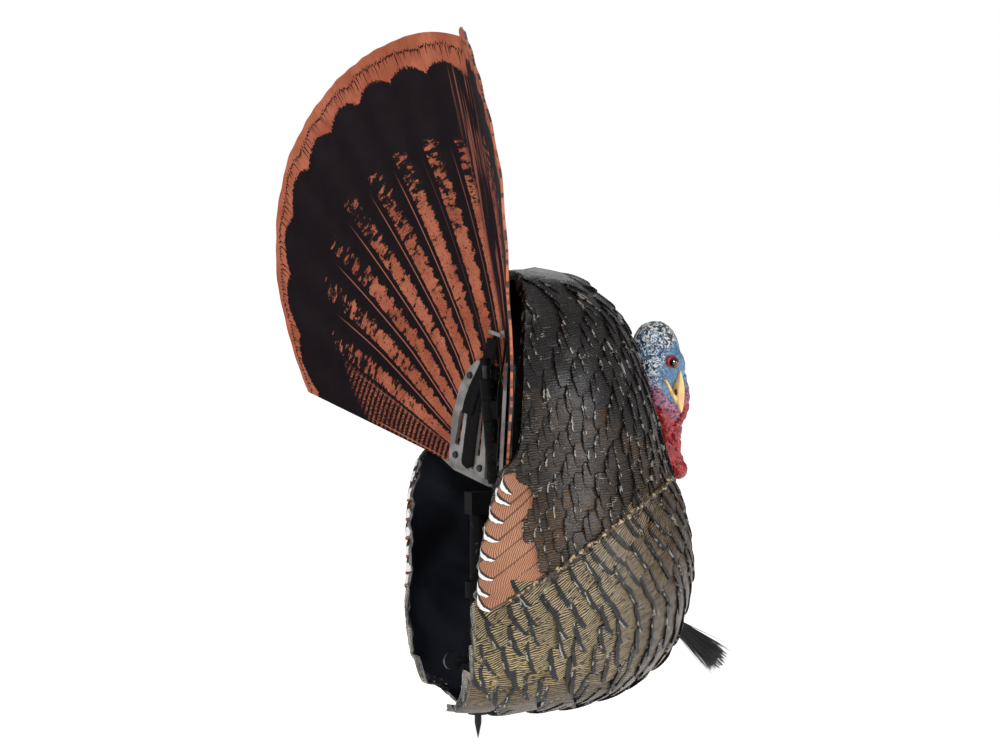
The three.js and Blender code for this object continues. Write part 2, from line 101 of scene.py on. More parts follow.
def make_studio():
    area_light("key_light", (-1.1, -2.4, 1.7), (0, 0, 0.25), (0.6, 0.6), 34)
    area_light("fill_light", (2.0, -2.2, 0.9), (0, 0, 0.25), (0.8, 1.2), 22)
    area_light("rim_light", (1.0, 2.4, 1.8), (0, 0, 0.3), (1.2, 1.2), 5)
    area_light("top_light", (0.1, -0.4, 2.7), (0, 0, 0.2), (1.0, 1.0), 8)
    area_light("rear_light", (-2.6, 0.9, 0.9), (0, 0, 0.2), (1.2, 1.2), 6)
    world = bpy.data.worlds.new("studio")
    world.use_nodes = True
    tree = world.node_tree
    background = tree.nodes["Background"]
    background.inputs["Color"].default_value = (1, 1, 1, 1)
    # the backdrop is white, and the light from it is weaker, so that dark gloss stays dark
    seen = tree.nodes.new("ShaderNodeLightPath").outputs["Is Camera Ray"]
    strength = tree.nodes.new("ShaderNodeMapRange")
    tree.links.new(seen, strength.inputs[0])
    strength.inputs[3].default_value = BACKDROP_LIGHT
    strength.inputs[4].default_value = BACKDROP_SEEN
    tree.links.new(strength.outputs[0], background.inputs["Strength"])
    bpy.context.scene.world = world
    bpy.context.scene.view_settings.view_transform = "Standard"


# ------------------------------------------------------------------ materials

def linear(*rgb):
    """sRGB from 0 to 255 as a linear colour."""
    out = []
    for value in rgb:
        v = value / 255
        out.append(v / 12.92 if v <= 0.04045 else ((v + 0.055) / 1.055) ** 2.4)
    return (*out, 1.0)


class Value:
    """A number that a node gives; arithmetic on it adds Math nodes."""

    def __init__(self, shade, socket):
        self.shade, self.socket = shade, socket

    def __add__(self, other):
        return self.shade.math("ADD", self, other)

    def __radd__(self, other):
        return self.shade.math("ADD", other, self)

    def __sub__(self, other):
        return self.shade.math("SUBTRACT", self, other)

    def __rsub__(self, other):
        return self.shade.math("SUBTRACT", other, self)

    def __mul__(self, other):
        return self.shade.math("MULTIPLY", self, other)

    def __truediv__(self, other):
        return self.shade.math("DIVIDE", self, other)


class Shade:
    """Short calls that build one material's node tree."""

    def __init__(self, name):
        self.material = bpy.data.materials.new(name)
        self.material.use_nodes = True
        self.tree = self.material.node_tree
        self.tree.nodes.clear()

    def add(self, kind, inputs=None, **settings):
        node = self.tree.nodes.new("ShaderNode" + kind)
        for key, value in settings.items():
            setattr(node, key, value)
        for key, value in (inputs or {}).items():
            self.feed(node.inputs[key], value)
        return node

    def feed(self, socket, value):
        if isinstance(value, Value):
            value = value.socket
        if isinstance(value, bpy.types.NodeSocket):
            self.tree.links.new(value, socket)
        else:
            socket.default_value = value

    def math(self, operation, a, b=0.0):
        return Value(self, self.add("Math", {0: a, 1: b}, operation=operation).outputs[0])

    def step(self, value, low, high):
        """0 below low and 1 above high, smooth between them."""
        node = self.add("MapRange", {0: value, 1: low, 2: high}, interpolation_type="SMOOTHSTEP")
        return Value(self, node.outputs[0])

    def spread(self, value, low, high):
        """Maps 0..1 to low..high."""
        return Value(self, self.add("MapRange", {0: value, 3: low, 4: high}).outputs[0])

    def mix(self, factor, a, b):
        return self.add("Mix", {0: factor, 6: a, 7: b}, data_type="RGBA").outputs[2]

    def combine(self, x=0.0, y=0.0, z=0.0):
        return self.add("CombineXYZ", {0: x, 1: y, 2: z}).outputs[0]

    def split(self, vector):
        return [Value(self, part) for part in self.add("SeparateXYZ", {0: vector}).outputs]

    def noise(self, vector, scale, detail=2.0, roughness=0.5, distortion=0.0):
        node = self.add("TexNoise", {"Vector": vector, "Scale": scale, "Detail": detail,
                                     "Roughness": roughness, "Distortion": distortion})
        return Value(self, node.outputs[0])

    def scaled(self, vector, scale):
        return self.add("VectorMath", {0: vector, 1: scale}, operation="MULTIPLY").outputs[0]

    def colour_of(self, name):
        return self.add("Attribute", attribute_name=name).outputs["Color"]

    def place(self):
        return self.add("TexCoord").outputs["Object"]

    def attribute(self, name):
        return self.add("Attribute", attribute_name=name).outputs["Vector"]

    def uv(self, name):
        return self.add("UVMap", uv_map=name).outputs[0]

    def bump(self, height, distance, strength=1.0):
        return self.add("Bump", {"Height": height, "Distance": distance,
                                 "Strength": strength}).outputs[0]

    def finish(self, colour, roughness, normal=None, **sockets):
        shader = self.add("BsdfPrincipled", {"Base Color": colour, "Roughness": roughness})
        if normal is not None:
            self.feed(shader.inputs["Normal"], normal)
        for key, value in sockets.items():
            self.feed(shader.inputs[key.replace("_", " ")], value)
        output = self.add("OutputMaterial")
        self.tree.links.new(shader.outputs[0], output.inputs[0])
        return self.material


def plastic(name, light, dark, roughness=0.45, grain=900.0, depth=0.00008, metal=0.0, gloss=0.5):
    """Moulded plastic or coated metal with a fine grain, faint mottling and scuffs."""
    s = Shade(name)
    place = s.place()
    mottle = s.noise(place, 60, 4)
    fine = s.noise(place, grain, 2)
    scuff = s.step(s.noise(place, 240, 5, 0.65, 0.4), 0.60, 0.74)
    colour = s.mix(s.step(mottle, 0.35, 0.65), dark, light)
    worn = s.mix(scuff * 0.12, colour, (0.45, 0.45, 0.44, 1))
    rough = s.spread(mottle, roughness - 0.08, roughness + 0.1) + scuff * 0.12
    return s.finish(worn, rough, s.bump(fine, depth, 0.6), Metallic=metal, Specular_IOR_Level=gloss)


def floor_material():
    s = Shade("pale_floor")
    grain = s.noise(s.place(), 3, 2)
    shade = s.mix(grain, (0.80, 0.80, 0.80, 1), (0.84, 0.84, 0.84, 1))
    return s.finish(shade, 0.9, Emission_Color=(1, 1, 1, 1), Emission_Strength=0.86,
                    Specular_IOR_Level=0.1)


def feather_material():
    """Moulded, painted feathers. The feather map is in mm: across it, and back from its tip."""
    s = Shade("moulded_feathers")
    across, back, _ = s.split(s.uv("feather"))
    chance, band, contrast = s.split(s.attribute("feather_data"))
    barb_colour = s.colour_of("barb_colour")
    ground_colour = s.colour_of("ground_colour")
    shift = chance * 61.0
    wobble = s.noise(s.combine(across * 0.16, back * 0.1, shift), 1, 2)
    fanned = across * s.spread(s.step(back, 0.0, 40.0), 0.5, 0.72)
    phase = fanned + wobble * 1.8
    wave = s.math("PINGPONG", phase, 0.5)
    line = s.step(wave, 0.18, 0.32)
    breaks = s.step(s.noise(s.combine(across * 0.8, back * 0.16, shift), 1, 3), 0.32, 0.48)
    barb = line * breaks * contrast
    place = s.place()
    patch = s.noise(place, 34, 3)
    colour = s.mix(barb, ground_colour, barb_colour)
    colour = s.mix(s.spread(patch, 0.0, 0.40), colour, ground_colour)
    # dark band at each tip: the feather's black tip, on the breast made wider as a painted shadow
    # of the overlapping feather
    ragged = back + (wobble - 0.5) * 3.0
    ragged = ragged + line * 0.5
    tip = 1.0 - s.step(ragged, band - 0.7, band + 0.7)
    dark = s.mix(patch, linear(13, 13, 15), linear(27, 26, 30))
    colour = s.mix(tip, colour, dark)
    glint = s.noise(place, 300, 3, 0.6)
    # painted highlights: light dashes at the very tips and light streaks on some barb lines stand
    # in for glints on the gloss
    tip_glint_dash = s.noise(place, 110, 3, 0.6)
    edge = (1.0 - s.step(back, 0.4, 1.8)) * s.step(tip_glint_dash, 0.55, 0.62)
    streaks = s.step(s.noise(place, 95, 4, 0.7), 0.62, 0.67) * s.step(line, 0.3, 0.8)
    edge = s.math("MAXIMUM", edge, streaks * 0.7)
    colour = s.mix(edge * 0.6, colour, linear(206, 200, 192))
    rough = s.spread(s.noise(place, 150, 3), 0.18, 0.36)
    rough = rough + barb * 0.1
    height = line * 0.75 + glint * 0.7
    return s.finish(colour, rough, s.bump(height, 0.00045, 0.8), Specular_IOR_Level=0.42)


def flank_material():
    """Painted flank feathers: fine dark striations, a black then white crescent at the tip."""
    s = Shade("flank_feathers")
    across, back, _ = s.split(s.uv("feather"))
    chance, _, _ = s.split(s.attribute("feather_data"))
    shift = chance * 61.0
    wobble = s.noise(s.combine(across * 0.3, back * 0.12, shift), 1, 2)
    phase = across * 0.5 + wobble * 0.8
    phase = phase + back * 0.35
    line = s.step(s.math("PINGPONG", phase, 0.5), 0.10, 0.26)
    place = s.place()
    patch = s.noise(place, 55, 3)
    tan = s.mix(patch, linear(172, 110, 78), linear(206, 152, 116))
    colour = s.mix(line * 0.85, linear(104, 56, 34), tan)
    margin = s.step(s.math("ABSOLUTE", across), 7.6, 8.6)
    colour = s.mix(margin * 0.8, colour, linear(70, 38, 26))
    side = across * across * 0.03
    arc = back + side - across * 0.16
    arc = arc + (wobble - 0.5) * 1.6
    black = 1.0 - s.step(arc, 5.4, 6.2)
    white = 1.0 - s.step(arc, 3.2, 3.8)
    colour = s.mix(black, colour, linear(24, 22, 24))
    colour = s.mix(white, colour, linear(236, 234, 230))
    rim = 1.0 - s.step(arc, 0.2, 0.5)
    colour = s.mix(rim, colour, linear(150, 92, 62))
    rough = s.spread(patch, 0.42, 0.62)
    height = line * 0.8 + s.noise(place, 500, 2) * 0.4
    return s.finish(colour, rough, s.bump(height, 0.00028, 0.7))


def ridge_material():
    """Brown moulding with light patches on its high spots, a painted highlight along the ridge."""
    s = Shade("wing_ridge")
    place = s.place()
    highlight_spots = s.noise(place, 260, 4, 0.6)
    colour = s.mix(s.noise(place, 60, 3), linear(34, 26, 20), linear(74, 56, 38))
    # painted highlight: light patches on the ridge's high spots
    colour = s.mix(s.step(highlight_spots, 0.5, 0.6) * 0.85, colour, linear(196, 172, 136))
    return s.finish(colour, s.spread(highlight_spots, 0.25, 0.5), s.bump(highlight_spots, 0.0006, 0.8))


def skin_material():
    """The shell wall: glossy near-black foam inside, with lighter bluish mottling as a painted
    sheen, matt grey-black at the cut rim.
    """
    s = Shade("shell_wall")
    place = s.place()
    rim = s.split(s.attribute("wall_zone"))[0]
    broad = s.noise(place, 14, 3, 0.5, 0.6)
    fine = s.noise(place, 160, 4)
    # near-black foam with lighter bluish mottling as a painted sheen of the gloss
    inside = s.mix(s.step(broad, 0.35, 0.7), linear(14, 14, 17), linear(38, 41, 48))
    edge = s.mix(s.step(fine, 0.35, 0.62), linear(46, 46, 48), linear(122, 122, 124))
    colour = s.mix(rim, inside, edge)
    rough = s.spread(broad, 0.2, 0.42) + rim * 0.2
    height = s.noise(place, 45, 3) + fine * 0.25
    return s.finish(colour, rough, s.bump(height, 0.0012, 0.5))


def print_material():
    """Tail feathers printed on the sheet; the attribute holds radius and edge distance
    in mm and the angle from the fold in degrees."""
    s = Shade("fan_print")
    radius, angle, inset = s.split(s.attribute("fan_print"))
    place = s.place()
    fine = s.noise(s.combine(radius, angle * 5.5), 0.45, 4, 0.6)
    slow = s.noise(s.combine(angle * 0.14), 1, 2)
    quick = s.noise(s.combine(angle * 3.4, 4.0), 1, 3)

    copper = s.mix(s.step(s.noise(place, 30, 4), 0.3, 0.7), linear(146, 76, 54),
                   linear(176, 102, 76))
    grain = s.noise(s.combine(radius * 0.06, angle * 1.9), 1, 3)
    copper = s.mix(s.step(grain, 0.5, 0.72) * 0.4, copper, linear(112, 52, 38))
    dark = s.mix(s.noise(place, 70, 3), linear(8, 4, 7), linear(24, 13, 19))

    # one feather for each step of angle, its middle slightly curved
    bow = s.math("SINE", radius * 0.01) * 0.16
    place_in = angle / 8.3 + bow
    share = s.math("FRACT", place_in)
    number = s.math("FLOOR", place_in)
    own = s.noise(s.combine(number * 3.7, 2.0), 0.9, 1)
    off_centre = share * 2.0 - 1.0
    scallop = off_centre * off_centre * 9.0
    fuzz = (fine - 0.5) * 12.0

    # thin jagged line inside the outer band, with spikes towards the apex
    wander = s.spread(slow, 5.0, 15.0) + scallop * 0.3
    wander = wander + (quick - 0.5) * 16.0
    wander = wander - angle * 0.06
    spike = s.step(quick, 0.5, 0.72) * 15.0
    spikes_end = s.step(inset, wander + 1.0 + spike, wander + 1.8 + spike)
    line = s.step(inset, wander - 0.8, wander) * (1.0 - spikes_end)

    # wide dark band with a fuzzy outer edge
    start = s.spread(slow, 22.0, 28.0) + fuzz + scallop
    start = start - angle * 0.2
    band = s.step(inset, start, start + 1.5)

    # a copper patch on each feather, barred and mottled towards its tip and one side
    bars = s.noise(s.combine(radius * 0.19, share * 2.4, number * 7.3), 1, 5, 0.68)
    across = s.step(share, 0.06, 0.54) * (1.0 - s.step(share, 0.86, 0.97))
    ends = 78.0 - angle * 0.3 + own * 26.0
    reach = s.step(inset, ends, ends + 110.0)
    low = 1.0 - s.step(radius, 60.0, 190.0)
    value = across * 0.6 + bars * 1.62
    value = value + (reach * 0.26 + low * 0.16)
    value = value + (fine - 0.5) * 0.35
    inside = s.step(inset + fuzz, ends, ends + 3.0)
    least = 1.39 + angle * 0.0024
    patch = s.step(value, least, least + 0.1) * inside
    patch = patch * (1.0 - s.step(fine, 0.56, 0.62) * 0.8)

    # the lowest feather is finely barred
    rake = s.math("PINGPONG", radius * 0.16 + fine * 1.6, 0.5)
    barred = s.step(rake, 0.22, 0.34) * s.step(angle, 64.5, 66.0)
    barred = barred * (s.step(inset, 88.0, 104.0) * s.step(fine, 0.44, 0.54))
    patch = s.math("MAXIMUM", patch * (1.0 - s.step(angle, 64.0, 66.0)), barred)

    # thin light shafts on some of the feathers
    off = s.math("ABSOLUTE", share - 0.05) * (radius * 0.145)
    shaft = (1.0 - s.step(off, 0.3, 0.8)) * s.step(inset, 92.0, 130.0)
    shaft = shaft * s.step(radius, 70.0, 110.0) * s.step(own, 0.42, 0.58)

    colour = s.mix(line, copper, dark)
    colour = s.mix(band, colour, dark)
    colour = s.mix(patch * band, colour, copper)
    colour = s.mix(shaft * 0.75, colour, linear(176, 108, 86))

    # dark and pinkish streaks beside the fold; the dark ones are painted shade in the fold's crease
    from_fold = radius * s.math("SINE", s.math("RADIANS", angle))
    streak = s.noise(s.combine(radius * 0.012, from_fold * 0.3), 1, 3)
    beside = 1.0 - s.step(angle, 3.4, 5.2)
    fold = s.mix(s.step(streak, 0.50, 0.64), linear(24, 14, 20), linear(128, 74, 62))
    colour = s.mix(beside * s.step(inset, 22.0, 40.0), colour, fold)

    rough = s.spread(s.noise(place, 90, 3), 0.55, 0.70)
    height = s.noise(place, 900, 2) + shaft * 0.8
    return s.finish(colour, rough, s.bump(height, 0.00012, 0.5), Specular_IOR_Level=0.06)


def edge_material():
    """Cut edge of the fan sheet: bright foam showing between printed faces."""
    return grained("fan_edge", 1, 3, (0.44, 0.58), (176, 96, 60), (52, 30, 26), (0.4, 0.6),
                   (0.0003, 0.5), (40, 40, 160))


def head_material():
    """Painted head; the zones hold the weights of white crown, dark mottling and red neck."""
    s = Shade("painted_head")
    crown, mottle, red = s.split(s.attribute("head_zone"))
    place = s.place()
    worm = s.noise(place, 300, 2, 0.5, 1.3)
    vein = s.noise(place, 210, 2, 0.5, 1.6)
    fleck = s.noise(place, 620, 2, 0.5, 0.8)
    blue = s.mix(s.step(worm, 0.35, 0.65), linear(50, 86, 122), linear(88, 134, 170))
    blue = s.mix(s.step(fleck, 0.6, 0.68) * 0.6, blue, linear(150, 176, 194))
    marks = s.mix(s.step(worm, 0.46, 0.54), linear(22, 26, 34), linear(206, 212, 216))
    blue = s.mix(mottle * s.step(vein, 0.42, 0.52), blue, marks)
    dots = s.noise(place, 380, 2, 0.5, 1.0)
    white = s.mix(s.step(worm, 0.44, 0.54) * s.step(dots, 0.36, 0.48), linear(44, 48, 54),
                  linear(208, 214, 212))
    flesh = s.mix(s.step(worm, 0.35, 0.65), linear(92, 10, 18), linear(178, 22, 28))
    flesh = s.mix(s.step(fleck, 0.64, 0.72), flesh, linear(226, 110, 112))
    violet = s.mix(s.step(worm, 0.42, 0.58), linear(62, 44, 74), linear(168, 104, 128))
    colour = s.mix(s.step(crown, 0.3, 0.8), blue, white)
    colour = s.mix(s.step(red, 0.02, 0.42), colour, violet)
    colour = s.mix(s.step(red, 0.45, 0.75), colour, flesh)
    height = worm + fleck * 0.6
    return s.finish(colour, s.spread(worm, 0.24, 0.44), s.bump(height, 0.0006, 0.8),
                    Coat_Weight=0.3, Coat_Roughness=0.25)


def grained(name, scale, detail, ends, dark, light, rough, bump=None, stretch=None, **sockets):
    """A painted surface whose colour, roughness and height follow one noise."""
    s = Shade(name)
    place = s.scaled(s.place(), stretch) if stretch else s.place()
    grain = s.noise(place, scale, detail)
    colour = s.mix(s.step(grain, *ends), linear(*dark), linear(*light))
    return s.finish(colour, s.spread(grain, *rough), s.bump(grain, *bump) if bump else None,
                    **sockets)


def beak_material():
    return grained("painted_beak", 260, 3, (0.3, 0.7), (230, 186, 116), (246, 210, 148),
                   (0.35, 0.5), (0.0002, 0.5), (1, 1, 0.3))


def red_material():
    return grained("eye_surround", 700, 3, (0.35, 0.65), (96, 8, 14), (182, 22, 28),
                   (0.3, 0.5), (0.0002, 0.6))


def nostril_shade_material():
    # painted shade: dark spots stand in for the shade inside the nostril holes
    s = Shade("nostril_hole_shade")
    grain = s.noise(s.place(), 900, 2)
    return s.finish(s.mix(grain, linear(40, 14, 6), linear(92, 44, 16)), s.spread(grain, 0.5, 0.7))


def eye_material():
    return grained("glass_eye", 800, 3, (0.4, 0.7), (6, 5, 5), (22, 16, 14), (0.05, 0.10),
                   Coat_Weight=1.0, Coat_Roughness=0.03)


def bristle_material():
    return grained("bristles", 500, 3, (0.3, 0.7), (8, 8, 9), (34, 34, 38), (0.32, 0.5),
                   stretch=(1, 4, 1))


def webbing_material(name, light, dark, pitch=1.3):
    """Woven tape; the strap map is in mm along and across the tape."""
    s = Shade(name)
    along, across, _ = s.split(s.uv("strap"))
    rib = s.math("PINGPONG", across / pitch, 0.5)
    pick = s.math("PINGPONG", along / pitch + across / (pitch * 2), 0.5)
    weave = rib * pick * 4.0
    fuzz = s.noise(s.place(), 1200, 3)
    colour = s.mix(weave * s.spread(fuzz, 0.5, 1.3), dark, light)
    rough = s.spread(fuzz, 0.7, 0.95)
    return s.finish(colour, rough, s.bump(weave + fuzz, 0.0004, 0.8), Specular_IOR_Level=0.15)


# ------------------------------------------------------------------ meshes

def make_mesh(name, points, faces, materials, uv=None, attributes=None, sharp=None, indices=None):
    """An object from points in millimetres. uv is (map name, one pair for each point)."""
    mesh = bpy.data.meshes.new(name)
    mesh.from_pydata((np.asarray(points, float) * MM).tolist(), [], faces)
    mesh.validate()
    for material in materials:
        mesh.materials.append(material)
    mesh.polygons.foreach_set("use_smooth", [True] * len(mesh.polygons))
    if indices is not None:
        mesh.polygons.foreach_set("material_index", indices)
    corner = np.zeros(len(mesh.loops), np.int32)
    mesh.loops.foreach_get("vertex_index", corner)
    if uv is not None:
        layer = mesh.uv_layers.new(name=uv[0])
        layer.data.foreach_set("uv", np.asarray(uv[1], np.float32)[corner].ravel())
    for key, values in (attributes or {}).items():
        layer = mesh.color_attributes.new(name=key, type="FLOAT_COLOR", domain="POINT")
        filled = np.ones((len(mesh.vertices), 4), np.float32)
        filled[:, :np.shape(values)[1]] = values
        layer.data.foreach_set("color", filled.ravel())
    if sharp is not None:
        mesh.set_sharp_from_angle(angle=math.radians(sharp))
    mesh.update()
    return link(bpy.data.objects.new(name, mesh))


def grid_quads(rows, columns, wrap=False):
    """Quads of a rows by columns grid of points, closed round the columns if wrap."""
    last = columns if wrap else columns - 1
    i, j = np.meshgrid(np.arange(rows - 1), np.arange(last), indexing="ij")
    k = (j + 1) % columns
    here, below = i * columns, (i + 1) * columns
    quads = np.stack([here + j, here + k, below + k, below + j], -1)
    return quads.reshape(-1, 4)


def capped(rings, sides):
    """Faces of a closed tube whose points are rings, one after the other."""
    end = rings * sides
    faces = grid_quads(rings, sides, wrap=True).tolist()
    return faces + [list(range(sides))[::-1], list(range(end - sides, end))]


def grid_border(rows, columns):
    """The outer points of a grid, in order round it."""
    return np.concatenate([
        np.arange(columns), np.arange(1, rows) * columns + columns - 1,
        (rows - 1) * columns + np.arange(columns - 2, -1, -1), np.arange(rows - 2, 0, -1) * columns,
    ])


def unit(v):
    return v / np.maximum(np.linalg.norm(v, axis=-1, keepdims=True), 1e-9)


def wobble(points, scale, seed=0.0):
    """Smooth noise from -1 to 1 at each point."""
    flat = np.asarray(points, float).reshape(-1, 3) * scale + seed
    values = [noise.noise(Vector(p)) for p in flat]
    return np.array(values).reshape(np.shape(points)[:-1])


def tube(path, radii, sides):
    """Points and faces of a round tube along a path."""
    path, radii = np.asarray(path, float), np.asarray(radii, float)
    ahead = unit(np.gradient(path, axis=0))
    side = unit(np.cross(ahead, np.array([0.13, 0.98, 0.17])))
    over = np.cross(ahead, side)
    turn = np.linspace(0, 2 * np.pi, sides, endpoint=False)
    ring = np.cos(turn)[None, :, None] * side[:, None] + np.sin(turn)[None, :, None] * over[:, None]
    points = (path[:, None] + ring * radii[:, None, None]).reshape(-1, 3)
    return points, [face[::-1] for face in capped(len(path), sides)]


def joined(parts):
    """Several (points, faces) as one."""
    points, faces, start = [], [], 0
    for p, f in parts:
        points.append(np.asarray(p, float))
        faces.extend([[i + start for i in face] for face in f])
        start += len(p)
    return np.concatenate(points), faces


# ------------------------------------------------------------------ the shell's surface

SHELL_WALL = 3.0
STAKE_HOLE = 10.5  # radius
PLATE_INSET = 1.7  # how far the feathers' ground is sunk into the wall
SHELL_POWER = 2.2
PER_SLICE = 20  # rows of the chart for each slice
# height, half width, front, middle and the reach behind the middle, as in the CAD source but
# a few millimetres flatter in front of the mantle
SLICES = np.array([
    [24, 0, 20, 20, 0], [27, 44, 74, 20, 46], [36, 74, 112, 25, 70], [49, 91, 141, 30, 84],
    [76, 106, 170, 34, 98], [108, 116, 182, 38, 104], [135, 119, 187, 40, 99],
    [165, 120, 186, 40, 100], [200, 117, 178, 40, 110], [233, 112, 166, 40, 124],
    [265, 109, 156.5, 40, 124], [301, 104, 146.5, 40, 112], [340, 92, 133, 42, 92],
    [365, 78, 118, 44, 70], [388, 50, 94, 48, 42], [398, 28, 76, 51, 24], [403, 0, 53, 53, 0],
], float)
LAST_SLICE = len(SLICES) - 1
# the cut rim in side view, as [x, z], and how it ends at the bottom on each side
RIM = np.array([
    [31, 402], [26, 391], [19, 376], [12, 355], [7, 335], [2, 300], [-1, 262], [-5, 247],
    [-16, 235], [-26, 205], [-31, 178], [-33, 144], [-35, 110], [-34, 85], [-33, 66],
], float)
RIM_END = {1: [[-29, 46], [-27, 42], [-8, 41], [-8, 0]], -1: [[-32, 50], [-31, 30], [-31, 0]]}


def slice_at(s):
    """The slice's five numbers at a place between the listed slices."""
    s = np.clip(np.asarray(s, float), 0, LAST_SLICE - 1e-9)
    i = np.floor(s).astype(int)
    f = (s - i)[..., None]
    p0 = SLICES[np.where(i > 0, i - 1, 1)]
    p1, p2 = SLICES[i], SLICES[i + 1]
    p3 = SLICES[np.where(i + 2 < len(SLICES), i + 2, len(SLICES) - 2)]
    out = 0.5 * (2 * p1 + (p2 - p0) * f + (2 * p0 - 5 * p1 + 4 * p2 - p3) * f**2
                 + (3 * p1 - p0 - 3 * p2 + p3) * f**3)
    return np.moveaxis(out, -1, 0)


def slice_point(s, turn):
    z, half, front, middle, reach = slice_at(s)
    c, n = np.cos(turn), np.sin(turn)
    along = np.sign(c) * np.abs(c) ** (2 / SHELL_POWER)
    across = np.sign(n) * np.abs(n) ** (2 / SHELL_POWER)
    x = middle + along * np.where(along > 0, front - middle, reach)
    return np.stack([x, across * half, np.broadcast_to(z, x.shape)], -1)


def rim_at(z, side):
    """How far back the shell reaches at a height on one side."""
    rim = np.concatenate([RIM, np.array(RIM_END[side], float)])[::-1]
    return np.interp(z, rim[:, 1], rim[:, 0])


class Surface:
    """The shell's outside as a distance from a middle point, in every direction."""

    centre = np.array([38.0, 0.0, 215.0])
    rows, columns = 181, 360

    def __init__(self):
        s, turn = np.meshgrid(np.linspace(0, LAST_SLICE, 241),
                              np.linspace(0, 2 * np.pi, 240, endpoint=False), indexing="ij")
        points = slice_point(s, turn).reshape(-1, 3)
        tree = BVHTree.FromPolygons(points.tolist(), grid_quads(241, 240, wrap=True).tolist())
        start = Vector(self.centre)
        self.table = np.zeros((self.rows, self.columns + 1))
        for i, up in enumerate(np.linspace(-np.pi / 2, np.pi / 2, self.rows)):
            for j, way in enumerate(np.linspace(-np.pi, np.pi, self.columns, endpoint=False)):
                ray = Vector((math.cos(up) * math.cos(way), math.cos(up) * math.sin(way),
                              math.sin(up)))
                hit = tree.ray_cast(start, ray)
                self.table[i, j] = hit[3] if hit[3] is not None else self.table[i, j - 1]
        self.table[:, -1] = self.table[:, 0]

    def reach(self, d):
        up = np.arcsin(np.clip(d[..., 2], -1, 1)) / np.pi + 0.5
        way = np.arctan2(d[..., 1], d[..., 0]) / (2 * np.pi) + 0.5
        a, b = up * (self.rows - 1), way * self.columns
        i = np.clip(a.astype(int), 0, self.rows - 2)
        j = np.clip(b.astype(int), 0, self.columns - 1)
        fa, fb = a - i, b - j
        t = self.table
        low = t[i, j] * (1 - fb) + t[i, j + 1] * fb
        high = t[i + 1, j] * (1 - fb) + t[i + 1, j + 1] * fb
        return low * (1 - fa) + high * fa

    def onto(self, q):
        """The surface point in the same direction as q, and the outward normal there."""
        d = unit(q - self.centre)
        side = np.where(np.abs(d[..., 1:2]) > 0.8, [1.0, 0, 0], [0, 1.0, 0])
        e = unit(np.cross(d, side))
        f = np.cross(d, e)

        def at(v):
            v = unit(v)
            return self.centre + v * self.reach(v)[..., None]

        small = 0.022
        normal = unit(np.cross(at(d + small * e) - at(d - small * e),
                               at(d + small * f) - at(d - small * f)))
        normal *= np.sign(np.sum(normal * d, -1, keepdims=True))
        return at(d), normal


surface = Surface()


class Chart:
    """Places on one side by distance back from the breast line and down from the crown."""

    def __init__(self):
        self.s = np.linspace(LAST_SLICE, 0, LAST_SLICE * PER_SLICE + 1)
        self.turn = np.linspace(0, np.pi, 361)
        points = slice_point(*np.meshgrid(self.s, self.turn, indexing="ij"))
        steps = np.linalg.norm(np.diff(points, axis=1), axis=-1)
        self.back = np.concatenate([np.zeros((len(self.s), 1)), np.cumsum(steps, 1)], 1)
        column = points[:, 120]  # 60 degrees from the breast line
        fall = np.linalg.norm(np.diff(column, axis=0), axis=-1)
        self.down = np.concatenate([[0], np.cumsum(fall)])
        self.height = column[:, 2]

    def point(self, back, down):
        """The point, or None where the slice is too short."""
        if not 0 <= down <= self.down[-1]:
            return None
        s = np.interp(down, self.down, self.s)
        i = int(round((LAST_SLICE - s) * PER_SLICE))
        if back > self.back[i, -1] or back < 0:
            return None
        turn = np.interp(back, self.back[i], self.turn)
        return slice_point(np.array(s), np.array(turn))


chart = Chart()


def shell_skin():
    """The thick wall with its wavy cut rim; the floor hole stays open for the stake."""
    levels = np.concatenate([np.linspace(0.05, 1, 14), np.linspace(1.1, 15, 170),
                             np.linspace(15.1, 15.95, 10)])
    columns = 200
    rows, zones = [], []
    for s in levels:
        z = float(slice_at(s)[0])
        ends = []
        for side in (1, -1):
            wave = 1.6 * math.sin(z * 2 * math.pi / 27 + side)
            wave += 0.8 * math.sin(z * 2 * math.pi / 11.3)
            limit = rim_at(z, side) + (wave if 60 < z < 240 else 0)
            turns = np.linspace(0, np.pi, 721)
            x = slice_point(np.full(721, s), turns)[:, 0]
            behind = np.nonzero(x < limit)[0]
            ends.append(turns[behind[0]] if len(behind) else np.pi)
        turn = np.linspace(-ends[1], ends[0], columns)
        rows.append(slice_point(np.full(columns, s), turn))
        near_end = np.minimum(np.arange(columns), np.arange(columns)[::-1]) < 1
        zones.append(near_end.astype(float))
    outer = np.array(rows)
    _, normal = surface.onto(outer)
    lip = np.exp(-np.minimum(np.arange(columns), np.arange(columns)[::-1]) / 1.6)[None, :, None]
    inner = outer - normal * (SHELL_WALL + 0.9)
    outer = outer + normal * (0.4 * lip - PLATE_INSET)
    count = outer.shape[0] * columns
    quads = grid_quads(len(levels), columns)
    inside = (quads + count)[:, ::-1]
    rim = []
    for i in range(len(levels) - 1):
        for edge, flip in ((0, 1), (columns - 1, -1)):
            a, b = i * columns + edge, (i + 1) * columns + edge
            rim.append([a, b, b + count, a + count][::flip])
    for row, flip in ((0, 1), (len(levels) - 1, -1)):
        start = row * columns
        for j in range(columns - 1):
            rim.append([start + j + 1, start + j, start + j + count, start + j + 1 + count][::flip])
    points = np.concatenate([outer.reshape(-1, 3), inner.reshape(-1, 3)])
    faces = np.concatenate([quads, inside, np.array(rim)])
    middle = points[faces].mean(1)
    hole = (np.hypot(middle[:, 0], middle[:, 1]) < STAKE_HOLE) & (middle[:, 2] < 60)
    faces = faces[~hole]
    zone = np.concatenate([np.array(zones).ravel()] * 2)[:, None] * [1.0, 0, 0]
    skin = make_mesh("shell_skin", points, faces.tolist(), [skin_material()],
                     attributes={"wall_zone": zone}, sharp=60)
    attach(skin, "shell")
    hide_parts("body_shell")


# ------------------------------------------------------------------ feathers

